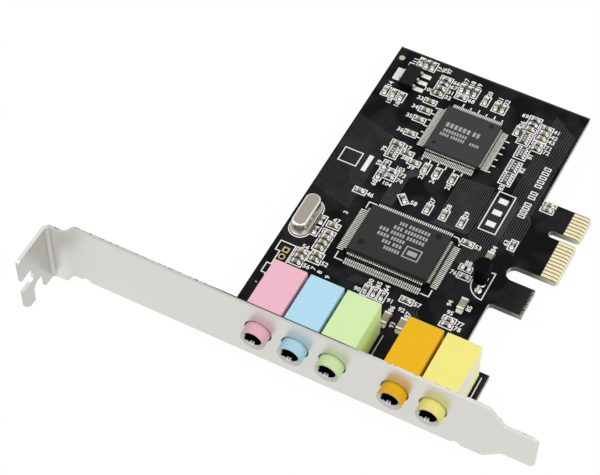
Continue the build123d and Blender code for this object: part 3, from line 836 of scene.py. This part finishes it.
MARK_GREY = (0.38, 0.38, 0.37)
MARK_IN = 0.004
MARK_OUT = 0.01
BLOCK_STEP = 0.72
BLOCK_FILL = 0.66
GROUP_GAP = 0.4
AUDIO_ROWS = (
    (-2.0, 4.8, (2.0, 5.3), 1.0), (-2.8, 3.25, (2.4, 5.8), 1.0), (-5.6, 1.7, (2.4, 3.6, 4.5), 1.0),
    (-5.4, 0.15, (3.0, 3.5), 1.0), (-3.5, -1.4, (2.2, 2.4), 1.0), (-2.4, -2.95, (4.0,), 1.0))
AUDIO_FIELD = ((2.3, -0.3), (6.0, -0.3), (6.0, -3.4), (2.3, -3.4))
BRIDGE_ROWS = (
    (-5.0, 1.5, (6.5, 2.0), 1.4), (-4.9, -0.35, (6.2,), 0.95), (-5.2, -1.7, (2.4, 3.6), 0.9),
    (2.4, -1.6, (2.5,), 0.8))
DIMPLE_BLACK = (0.011, 0.011, 0.011)
AUDIO_DIMPLES = ((-7.6, -4.0, 0.78), (7.4, 5.4, 0.78))
BRIDGE_DIMPLES = ((4.8, 5.6, 0.6), (-5.3, -4.9, 0.34))


def mark(bm, start, end, width, z):
    """Printed bar on a face at height z, in mm."""
    bar(bm, start, end, width, z - MARK_IN, z + MARK_OUT)


def mark_rows(bm, mid, z, rows):
    """Rows of upright blocks: (offset in x, offset in y, lengths of the groups, height)."""
    for dx, dy, lengths, high in rows:
        x = mid.x + dx
        for length in lengths:
            count = round(length / (BLOCK_STEP * high))
            step = length / count
            for i in range(count):
                start = Vector((x + i * step, mid.y + dy))
                mark(bm, start, start + Vector((BLOCK_FILL * step, 0.0)), high, z)
            x += length + GROUP_GAP


marks, dimples = bmesh.new(), bmesh.new()
audio_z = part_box("audio_chip_body")[1].z / MM
bridge_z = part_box("bridge_chip_body")[1].z / MM
mark_rows(marks, audio, audio_z, AUDIO_ROWS)
path(marks, [audio + Vector(p) for p in AUDIO_FIELD], 0.3, audio_z - MARK_IN, audio_z + MARK_OUT, True)
mark(marks, audio + Vector((3.0, -1.85)), audio + Vector((5.3, -1.85)), 1.3, audio_z)
mark_rows(marks, bridge, bridge_z, BRIDGE_ROWS)
mark_grey = grained("laser_mark", MARK_GREY, 0.7, 5200.0, 0.12, 0.1, spec=0.25)
finished(marks, "package_marks", mark_grey)
for mid, z, spots in ((audio, audio_z, AUDIO_DIMPLES), (bridge, bridge_z, BRIDGE_DIMPLES)):
    for dx, dy, r in spots:
        bowl = [(0.0, 0.004), (r - 0.16, 0.004), (r - 0.08, 0.016), (r, 0.004), (r, -0.01), (0.0, -0.01)]
        turned(dimples, bowl, (mid.x + dx, mid.y + dy, z), steps=28)
dimple_dark = grained("dimple_gloss", DIMPLE_BLACK, 0.45, 5200.0, 0.2, 0.2, spec=0.1)
finished(dimples, "package_dimples", dimple_dark)


# Crystal: a can drawn from thin sheet, nickel-plated and welded on its flange. It is satin, with a level
# top painted darker as a painted reflection of a darker part of the room, and its two pins are soldered
# in the board.
NICKEL = (0.80, 0.77, 0.69)
# colour of the can's level top: a painted reflection
NICKEL_TOP_REFLECTION = (0.37, 0.345, 0.295)
FLANGE_H = 0.45
FLANGE_OUT = 0.85
FLANGE_EDGE = 0.15
CAN_EDGE = 0.5


def oblong(bm, length, width, high, edge, steps):
    """Upright oblong on the crystal's place with a rounded upper edge, in mm."""
    ring = bmesh.ops.create_circle(bm, cap_ends=True, segments=32, radius=width / 2)["verts"]
    for vert in ring:
        vert.co.y += math.copysign((length - width) / 2, vert.co.y)
    base = ring[0].link_faces[0]
    grown = bmesh.ops.extrude_face_region(bm, geom=[base], use_keep_orig=True)["geom"]
    top = [v for v in grown if isinstance(v, bmesh.types.BMVert)]
    bmesh.ops.translate(bm, verts=top, vec=(0, 0, high))
    place = Matrix.Scale(MM, 4) @ Matrix.Translation((*crystal, ZT))
    bmesh.ops.transform(bm, matrix=place, verts=ring + top)
    rim = [e for e in grown if isinstance(e, bmesh.types.BMEdge)]
    bmesh.ops.bevel(bm, geom=rim, offset=edge * MM, affect="EDGES", segments=steps, profile=0.5,
                    material=-1)


def nickel_finish():
    """Satin nickel, painted darker where it lies level, as a painted reflection."""
    mat = grained("satin_nickel", NICKEL, 0.34, 900.0, 0.06, 0.04, metal=1.0)
    tree = mat.node_tree
    level = maths(tree, "GREATER_THAN", axes(tree, "NewGeometry", "Normal")["Z"], 0.97)
    return recolour(mat, blend_colour(tree, level, tree.nodes["grain"].outputs["Colour"], NICKEL_TOP_REFLECTION))


can = bmesh.new()
low, high = (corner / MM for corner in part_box("crystal_can"))
length, width = high.y - low.y, high.x - low.x
oblong(can, length, width, FLANGE_H, FLANGE_EDGE, 2)
oblong(can, length - FLANGE_OUT, width - FLANGE_OUT, high.z - ZT, CAN_EDGE, 4)
shell = finished(can, "crystal_shell", nickel_finish())
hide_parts("crystal_can")
dress(lead_tin, "crystal_pins")


# Small parts: tan ceramic capacitors, black glazed resistors and arrays, soldered flat on the
# board by their plated ends. The tan differs from place to place, and printed codes are plain
# bars.
TAN = (0.26, 0.215, 0.125)
TAN_LIGHT = (0.36, 0.30, 0.21)
GLAZE_BLACK = (0.03, 0.03, 0.032)
CODE_GREY = (0.55, 0.55, 0.56)
CODE_AT = (-0.28, 0.0, 0.28)
CODE_HALF = Vector((0.0, 0.24))
CODE_W = 0.16
ARRAY_CODE_AT = (-0.75, 0.0, 0.75)
ARRAY_CODE_HALF = Vector((0.28, 0.0))
ARRAY_CODE_W = 0.4
dress(grained("capacitor_ceramic", TAN, 0.5, 260.0, 0.5, 0.12), "small_capacitor_bodies")
dress(grained("large_capacitor_ceramic", TAN_LIGHT, 0.45, 260.0, 0.2, 0.1), "large_capacitor_bodies")
dress(grained("resistor_glaze", GLAZE_BLACK, 0.35, 1500.0, 0.2, 0.1), "resistor_bodies", "array_bodies")
dress(tin, "small_capacitor_ends", "resistor_ends", "large_capacitor_ends", "array_ends")
codes = bmesh.new()
code_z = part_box("resistor_bodies")[1].z / MM
for at, turn in chip_at["resistor"]:
    spin = Matrix.Rotation(turn, 2)
    for x in CODE_AT:
        spot = Vector((x, 0.0))
        start, end = at + spin @ (spot - CODE_HALF), at + spin @ (spot + CODE_HALF)
        mark(codes, start, end, CODE_W, code_z)
code_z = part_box("array_bodies")[1].z / MM
for at, turn in array_at:
    for y in ARRAY_CODE_AT:
        spot = at + Vector((0.0, y))
        mark(codes, spot - ARRAY_CODE_HALF, spot + ARRAY_CODE_HALF, ARRAY_CODE_W, code_z)
code_grey = grained("printed_code", CODE_GREY, 0.6, 3500.0, 0.08, 0.1, spec=0.3)
finished(codes, "part_codes", code_grey)


# Regulator and transistor: moulded in a smoother black epoxy. The regulator lies flat, soldered
# by a wide tab and three leads on generous tinned pads that carry its heat away. The transistor
# stands on three formed legs.
EPOXY_BLACK = (0.004, 0.004, 0.005)
EPOXY_JET = (0.0025, 0.0025, 0.003)
REG_PAD_H = 0.22
REG_PITCH = 2.3
REG_PADS = [((-4.0, 0.0), (-1.9, 0.0), 4.0)]
REG_PADS += [((1.9, REG_PITCH * s), (4.5, REG_PITCH * s), 1.25) for s in (-1, 0, 1)]
regulator_epoxy = grained("regulator_epoxy", EPOXY_BLACK, 0.42, 4200.0, 0.2, 0.1, spec=0.14, edge=0.2)
dress(regulator_epoxy, "regulator_body")
transistor_epoxy = grained("transistor_epoxy", EPOXY_JET, 0.42, 4200.0, 0.2, 0.1, spec=0.04, edge=0.2)
dress(transistor_epoxy, "transistor_body")
dress(lead_tin, "regulator_leads", "regulator_tab", "transistor_pins")
reg = middle("regulator_body")
reg_pads = bmesh.new()
for start, end, width in REG_PADS:
    verts = bar(reg_pads, reg + Vector(start), reg + Vector(end), width, ZT, ZT + REG_PAD_H)
    soften(reg_pads, verts, 0.14, 2)
finished(reg_pads, "regulator_pads", tin)


# Jacks: housings moulded in five pastel colours, each with a round nose through the bracket. The noses
# carry painted shade, the green and yellow walls painted light, the yellow one a painted sheen up front.
# A metal ring lines the mouth of the bore, whose dark inside and notch are painted shade, and two
# contact springs show at its bottom, painted near white as glints. Their tails are soldered through the
# board.
JACK_COLOURS = ((0.84, 0.47, 0.56), (0.44, 0.70, 0.86), (0.64, 0.83, 0.42), (0.82, 0.45, 0.004),
                (0.87, 0.80, 0.22))
# walls along X: the green one painted lighter as painted light, the yellow one paler with a painted
# sheen
WALL_COLOURS_LIT = (*JACK_COLOURS[:2], (0.70, 1.0, 0.41), JACK_COLOURS[3], (0.88, 0.83, 0.50))
YELLOW_WALL_SHEEN = (0.80, 0.78, 0.72)
WALL_ROUGH = 0.85
# noses painted darker by this factor: painted shade
NOSE_PAINTED_SHADE = 0.84
NOSE_BACK = 0.3
# where the yellow wall's painted sheen grows, in mm: from and full in height, back and front along the
# jack
SHEEN_FROM = 3.0
SHEEN_FULL = 8.0
SHEEN_BACK = 14.0
SHEEN_FRONT = 8.0
JACK_AXIS = 6.0
JACK_BORE = 1.85
JACK_BORE_END = 14.0
JACK_FRONT = 1.11
JACK_EDGE = 0.22
MOULDING_SHARP = math.radians(12)
NOSE_RINGS = ((JACK_BORE, 1.3), (2.04, 0.5), (2.55, 0.05), (2.6, 0.0), (2.86, 0.0), (2.96, 0.05),
              (3.0, 0.16))
RIM_PROFILE = ((2.76, -0.02), (2.58, -0.02), (1.98, 0.5), (1.98, 0.62), (2.01, 0.62), (2.03, 0.5),
               (2.58, 0.02))
# black liner inside each bore: painted shade where the bore lies in shadow
BORE_SHADE_PROFILE = ((0.0, 13.9), (1.83, 13.9), (1.83, 1.3), (1.97, 0.54), (1.91, 0.54), (1.76, 1.3),
                 (1.76, 13.8), (0.0, 13.8))
RIM_NICKEL = (0.52, 0.51, 0.49)
# real contact springs, painted near white and hardly metallic so they show as painted glints
SPRING_GLINT = (0.93, 0.93, 0.91)
SPRING_SIDES = (-0.6, 0.02)
SPRING_Y = (0.3, 1.0)
SPRING_Z = (-2.1, -1.5)
SPRING_W = 0.42
# black block at the lower left of the mouth: painted shade of a notch
NOTCH_SHADE_X = (-2.02, -1.45)
NOTCH_SHADE_Z = (-1.1, -0.55)
NOTCH_SHADE_Y = 0.62
NOTCH_SHADE_W = 0.7


def grown_ring(bm, edges, place):
    """Extrudes a loop of edges round a jack's axis, with each new point set by its direction."""
    grown = bmesh.ops.extrude_edge_only(bm, edges=edges)["geom"]
    verts = {g for g in grown if isinstance(g, bmesh.types.BMVert)}
    for vert in verts:
        vert.co = place(vert.co) * MM
    return [e for e in grown if isinstance(e, bmesh.types.BMEdge) and set(e.verts) <= verts]


def jack_moulding(name, mat):
    """Housing in one piece: from the bore's end to the mouth, over the nose and round the body."""
    low, high = (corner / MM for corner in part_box(name + "_housing"))
    axis = Vector(((low.x + high.x) / 2, 0.0, ZT + JACK_AXIS))

    def way_from_axis(point):
        """Direction from the jack's axis to a point."""
        away = point / MM - axis
        return Vector((away.x, 0.0, away.z)).normalized()

    def on_wall(point):
        """Point of the body's outline in the direction of a point."""
        way = way_from_axis(point)
        way /= max(abs(way.x), abs(way.z))
        reach = high.z - axis.z if way.z > 0 else axis.z - low.z
        return Vector((axis.x + way.x * (high.x - low.x) / 2, 0.0, axis.z + way.z * reach))

    def at_corner(vert):
        """Whether a vertex lies on one of the body's long edges."""
        beside = min(vert.co.x / MM - low.x, high.x - vert.co.x / MM)
        above = min(vert.co.z / MM - low.z, high.z - vert.co.z / MM)
        return beside < 0.01 and above < 0.01

    bm = bmesh.new()
    bore_end = Matrix.Translation((axis.x, low.y + JACK_BORE_END, axis.z))
    bore_end = Matrix.Scale(MM, 4) @ bore_end @ Matrix.Rotation(math.pi / 2, 4, "X")
    bmesh.ops.create_circle(bm, cap_ends=True, segments=32, radius=JACK_BORE, matrix=bore_end)
    edges = list(bm.edges)
    front = plate_y + JACK_FRONT
    for radius, y in [(r, low.y + d) for r, d in NOSE_RINGS] + [(NOSE_RINGS[-1][0], front)]:
        centre = Vector((axis.x, y, axis.z))
        edges = grown_ring(bm, edges, lambda point: centre + way_from_axis(point) * radius)
    edges = grown_ring(bm, edges, lambda point: on_wall(point) + Vector((0.0, front, 0.0)))
    rims = list(edges)
    edges = grown_ring(bm, edges, lambda point: Vector((point.x / MM, high.y, point.z / MM)))
    rims += edges
    bmesh.ops.contextual_create(bm, geom=edges)
    corners = [v for v in dict.fromkeys(v for e in rims for v in e.verts) if at_corner(v)]
    rims += [e for v in corners for e in v.link_edges if e.other_vert(v) in corners]
    bmesh.ops.bevel(bm, geom=list(dict.fromkeys(rims)), offset=JACK_EDGE * MM, affect="EDGES",
                    segments=3, profile=0.5, material=-1)
    piece = finished(bm, name + "_moulding", mat, MOULDING_SHARP)
    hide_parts(name + "_housing")


def zones_effect():
    """Node group: a jack's nose gets painted shade, and its wall along X is matt, in its own colour,
    paler up front as a painted sheen.
    """
    inputs = (("Colour", "Color"), ("Nose shade", "Color"), ("Wall", "Color"), ("Wall sheen", "Color"),
              ("Rough", "Float"))
    group, start, end = effect_group("jack_zones", inputs, (("Colour", "Color"), ("Rough", "Float")))
    spot = axes(group, "TexCoord", "Object")
    nose = maths(group, "LESS_THAN", spot["Y"], (plate_y + NOSE_BACK) * MM)
    wall = maths(group, "GREATER_THAN", axes(group, "NewGeometry", "True Normal")["X"], 0.8)
    upper = ramp(group, spot["Z"], TOP + SHEEN_FROM * MM, TOP + SHEEN_FULL * MM)
    fore = ramp(group, spot["Y"], (plate_y + SHEEN_BACK) * MM, (plate_y + SHEEN_FRONT) * MM)
    sheen = maths(group, "MULTIPLY", upper, fore)
    sheen = blend_colour(group, sheen, start.outputs["Wall"], start.outputs["Wall sheen"])
    colour = blend_colour(group, wall, start.outputs["Colour"], sheen)
    colour = blend_colour(group, nose, colour, start.outputs["Nose shade"])
    group.links.new(colour, end.inputs["Colour"])
    matt = maths(group, "MULTIPLY", wall, WALL_ROUGH)
    group.links.new(maths(group, "MAXIMUM", start.outputs["Rough"], matt), end.inputs["Rough"])
    return group


ZONES = zones_effect()


def plastic_finish(name, colour, wall, wall_sheen):
    """Moulded plastic with the zones of a jack: painted shade on the nose, painted light and sheen on
    the wall.
    """
    mat = grained(name, colour, 0.2, 3200.0, 0.03, 0.03, spec=0.2)
    tree = mat.node_tree
    zones = tree.nodes.new("ShaderNodeGroup")
    zones.node_tree = ZONES
    zones.inputs["Nose shade"].default_value = (*[NOSE_PAINTED_SHADE * c for c in colour], 1.0)
    zones.inputs["Wall"].default_value = (*wall, 1.0)
    zones.inputs["Wall sheen"].default_value = (*wall_sheen, 1.0)
    shader, grain = tree.nodes["Principled BSDF"], tree.nodes["grain"]
    for output, socket in (("Colour", "Base Color"), ("Rough", "Roughness")):
        tree.links.new(grain.outputs[output], zones.inputs[output])
        tree.links.new(zones.outputs[output], shader.inputs[socket])
    return mat


rims, bore_shades, tips = bmesh.new(), bmesh.new(), bmesh.new()
for name, colour, wall in zip(JACKS, JACK_COLOURS, WALL_COLOURS_LIT):
    wall_sheen = YELLOW_WALL_SHEEN if name == JACKS[-1] else wall
    jack_moulding(name, plastic_finish(name + "_plastic", colour, wall, wall_sheen))
    x, y, z = middle(name + "_housing").x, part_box(name + "_housing")[0].y / MM, ZT + JACK_AXIS
    turned(rims, [(r, -d) for r, d in RIM_PROFILE], (x, y, z), "Y", 40)
    # painted shade: black liner in the bore and a black block for the notch
    turned(bore_shades, [(r, -d) for r, d in BORE_SHADE_PROFILE], (x, y, z), "Y", 24)
    start, end = ((x + dx, y + NOTCH_SHADE_Y) for dx in NOTCH_SHADE_X)
    bar(bore_shades, start, end, NOTCH_SHADE_W, z + NOTCH_SHADE_Z[0], z + NOTCH_SHADE_Z[1])
    for side in SPRING_SIDES:
        start, end = ((x + side, y + dy) for dy in SPRING_Y)
        verts = bar(tips, start, end, SPRING_W, z + SPRING_Z[0], z + SPRING_Z[1])
        soften(tips, verts, 0.08, 2)
rim_metal = grained("rim_nickel", RIM_NICKEL, 0.30, 2200.0, 0.06, 0.05, metal=0.6)
finished(rims, "jack_rims", rim_metal)
finished(bore_shades, "jack_bore_shades", shade_black)
tip_glint = grained("spring_glint", SPRING_GLINT, 0.25, 2200.0, 0.04, 0.05, metal=0.1)
finished(tips, "jack_contact_tips", tip_glint)
dress(lead_tin, *[name + "_contacts" for name in JACKS])


# Bracket: one blank of sheet steel, punched and folded, with a satin zinc finish. Two lugs
# and screws hold it to the board. Its sheared edge is bright, with a broken dark line along its rear
# border that is painted shadow, and the tab and neck are painted darker and lighter: painted shade and
# light.
ZINC = (0.71, 0.70, 0.665)
CUT_BRIGHT = (0.56, 0.55, 0.525)
CUT_PALE = (0.72, 0.71, 0.68)
# broken dark line along the rear border of the sheared edge: painted shadow
CUT_SHADOW = (0.07, 0.062, 0.055)
SHADOW_LINE_DEPTH = 0.28
SHADOW_BREAKS = 800.0
SHADOW_LINE_START = (-66.0 * MM, -60.0 * MM)
SHADOW_LINE_END = (-32.0 * MM, -26.0 * MM)
PALE_CUT = (-30.0 * MM, -16.0 * MM)
TAB_X = cad_box[0][0]
# painted shade on the tab, painted light then shade on the neck: (from and to in mm beyond the tab,
# factor before, factor after)
TAB_PAINTED_SHADE = 0.66
NECK_PAINTED_LIGHT = 1.18
NECK_PAINTED_SHADE = 0.96
SHEET_PAINTED_SHADES = ((1.2, 2.6, TAB_PAINTED_SHADE, 1.0), (2.0, 6.5, NECK_PAINTED_LIGHT, NECK_PAINTED_SHADE),
                (8.0, 16.0, 1.0, 1 / NECK_PAINTED_SHADE))
SCREW_STEEL = (0.55, 0.54, 0.52)
SCREW_HEAD = [(0.0, 0.0), (0.0, -1.55), (1.1, -1.5), (1.9, -1.25), (2.4, -0.75), (2.6, -0.2),
              (2.6, 0.0)]
SHANK_R = 1.45
SHANK_TIP = 0.2
# the cross recess of each screw is a black bar: painted shade
RECESS = (Vector((1.3, 0.0)), Vector((0.0, 1.3)))
RECESS_W = 0.55
RECESS_Z = (-1.56, -1.2)


def zinc_finish(name):
    """Satin zinc, as sheet steel is plated after it is punched."""
    return grained(name, ZINC, 0.33, 60.0, 0.015, 0.0, metal=0.8)


def bracket_finish():
    """Satin zinc with painted shade at the tab and painted light and shade at the neck; a sheared edge
    has a painted shadow line along its rear border.
    """
    mat = zinc_finish("satin_zinc")
    tree = mat.node_tree
    way = axes(tree, "NewGeometry", "True Normal")
    spot = axes(tree, "TexCoord", "Object")
    satin = tree.nodes["grain"].outputs["Colour"]
    for start, end, before, after in SHEET_PAINTED_SHADES:
        shade = ramp(tree, spot["X"], TAB_X + start * MM, TAB_X + end * MM, before, after)
        satin = shaded(tree, satin, shade)
    strong = maths(tree, "MULTIPLY", ramp(tree, spot["X"], *SHADOW_LINE_START),
                   ramp(tree, spot["X"], *SHADOW_LINE_END, 1.0, 0.0))
    dashes = maths(tree, "MULTIPLY", ramp(tree, noise(tree, SHADOW_BREAKS), 0.48, 0.66),
                   ramp(tree, spot["X"], *SHADOW_LINE_END, 1.0, 0.45))
    border = maths(tree, "GREATER_THAN", spot["Y"], (plate_y + BRACKET_SHEET - SHADOW_LINE_DEPTH) * MM)
    shadow_line = maths(tree, "MULTIPLY", border, maths(tree, "MAXIMUM", dashes, strong))
    edge = blend_colour(tree, ramp(tree, spot["X"], *PALE_CUT), CUT_BRIGHT, CUT_PALE)
    edge = blend_colour(tree, shadow_line, edge, CUT_SHADOW)
    edge = blend_colour(tree, maths(tree, "LESS_THAN", spot["X"], TAB_X + 1.0 * MM), edge, CUT_PALE)
    cut = maths(tree, "GREATER_THAN", maths(tree, "ABSOLUTE", way["Z"]), 0.3)
    return recolour(mat, blend_colour(tree, cut, satin, edge))


dress(bracket_finish(), "bracket")
dress(zinc_finish("satin_zinc_lugs"), "bracket_lugs")
screws, recess_shades = bmesh.new(), bmesh.new()
for low, high in solids_of("bracket_screws"):
    mid = ((low + high) / 2).to_2d()
    tip = high.z - ZB
    turned(screws, SCREW_HEAD, (*mid, ZB), steps=32)
    shank = [(0.0, 0.0), (SHANK_R, 0.0), (SHANK_R, tip - SHANK_TIP), (SHANK_R - SHANK_TIP, tip),
             (0.0, tip)]
    turned(screws, shank, (*mid, ZB))
    for way in RECESS:
        bar(recess_shades, mid - way, mid + way, RECESS_W, ZB + RECESS_Z[0], ZB + RECESS_Z[1])
screw_steel = grained("screw_steel", SCREW_STEEL, 0.35, 2000.0, 0.1, 0.1, metal=0.9)
heads = finished(screws, "screw_heads", screw_steel)
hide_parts("bracket_screws")
finished(recess_shades, "screw_recess_shades", shade_black)


# Studio: the card lies on white paper in a plain white surround. A broad soft light stands above
# the tab's side, and a second one fills in from the tongue's side.
FLOOR_Z = cad_box[0][2] - 0.0004
PAPER = (0.85, 0.85, 0.85, 1.0)
WHITE = (1.0, 1.0, 1.0, 1.0)
SURROUND = 0.52
CARD_MIDDLE = Vector((-0.05, -0.02, 0.0))


def white_surround(tree, lit, strength):
    """Mixes a lit shader with plain white for what the camera, metal and glass see."""
    rays = tree.nodes.new("ShaderNodeLightPath")
    seen = maths(tree, "MAXIMUM", rays.outputs["Is Camera Ray"], rays.outputs["Is Glossy Ray"])
    seen = maths(tree, "MAXIMUM", seen, rays.outputs["Is Transmission Ray"])
    mix = tree.nodes.new("ShaderNodeMixShader")
    tree.links.new(maths(tree, "MULTIPLY", seen, strength), mix.inputs[0])
    tree.links.new(lit, mix.inputs[1])
    return mix


floor_mesh = bmesh.new()
bmesh.ops.create_grid(floor_mesh, x_segments=2, y_segments=2, size=3.0,
                      matrix=Matrix.Translation((0, 0, FLOOR_Z)))
mesh = bpy.data.meshes.new("floor")
floor_mesh.to_mesh(mesh)
floor_mesh.free()
floor = bpy.data.objects.new("floor", mesh)
bpy.context.scene.collection.objects.link(floor)
paper = bpy.data.materials.new("white_paper")
paper.use_nodes = True
tree = paper.node_tree
shader = tree.nodes["Principled BSDF"]
shader.inputs["Base Color"].default_value = PAPER
shader.inputs["Roughness"].default_value = 0.9
mix = white_surround(tree, shader.outputs[0], 0.98)
glow = tree.nodes.new("ShaderNodeEmission")
tree.links.new(glow.outputs[0], mix.inputs[2])
tree.links.new(mix.outputs[0], tree.nodes["Material Output"].inputs["Surface"])
mesh.materials.append(paper)

world = bpy.data.worlds.new("studio")
bpy.context.scene.world = world
world.use_nodes = True
tree = world.node_tree
soft = tree.nodes["Background"]
soft.inputs["Color"].default_value = WHITE
soft.inputs["Strength"].default_value = SURROUND
mix = white_surround(tree, soft.outputs[0], 1.0)
bright = tree.nodes.new("ShaderNodeBackground")
bright.inputs["Color"].default_value = WHITE
tree.links.new(bright.outputs[0], mix.inputs[2])
tree.links.new(mix.outputs[0], tree.nodes["World Output"].inputs["Surface"])


def soft_light(name, place, size, power):
    """Square area light aimed at the middle of the card."""
    data = bpy.data.lights.new(name, "AREA")
    data.size = size
    data.energy = power
    lamp = bpy.data.objects.new(name, data)
    bpy.context.scene.collection.objects.link(lamp)
    aim = CARD_MIDDLE - Vector(place)
    lamp.matrix_world = Matrix.Translation(place) @ aim.to_track_quat("-Z", "Y").to_matrix().to_4x4()


soft_light("key", (-0.5, -0.35, 0.9), 0.6, 3.2)
soft_light("fill", (0.75, -0.2, 0.8), 0.6, 5.6)


# Camera: a long lens from the tongue's side, well above the card. It is fitted to the slot
# bracket and the edge contacts, and everything is in focus.
CAMERA_AT = (0.0685846, -0.2697375, 0.3675318)
AZIMUTH, ELEVATION, ROLL = (math.radians(a) for a in (27.434, 53.345, 0.161))
view = bpy.data.cameras.new("camera")
view.sensor_width = 36.0
view.sensor_fit = "HORIZONTAL"
view.lens = 120.25
camera = bpy.data.objects.new("camera", view)
bpy.context.scene.collection.objects.link(camera)
turn = Matrix.Rotation(AZIMUTH, 4, "Z") @ Matrix.Rotation(math.pi / 2 - ELEVATION, 4, "X")
camera.matrix_world = Matrix.Translation(CAMERA_AT) @ turn @ Matrix.Rotation(ROLL, 4, "Z")
bpy.context.scene.camera = camera
bpy.context.scene.view_settings.view_transform = "Standard"
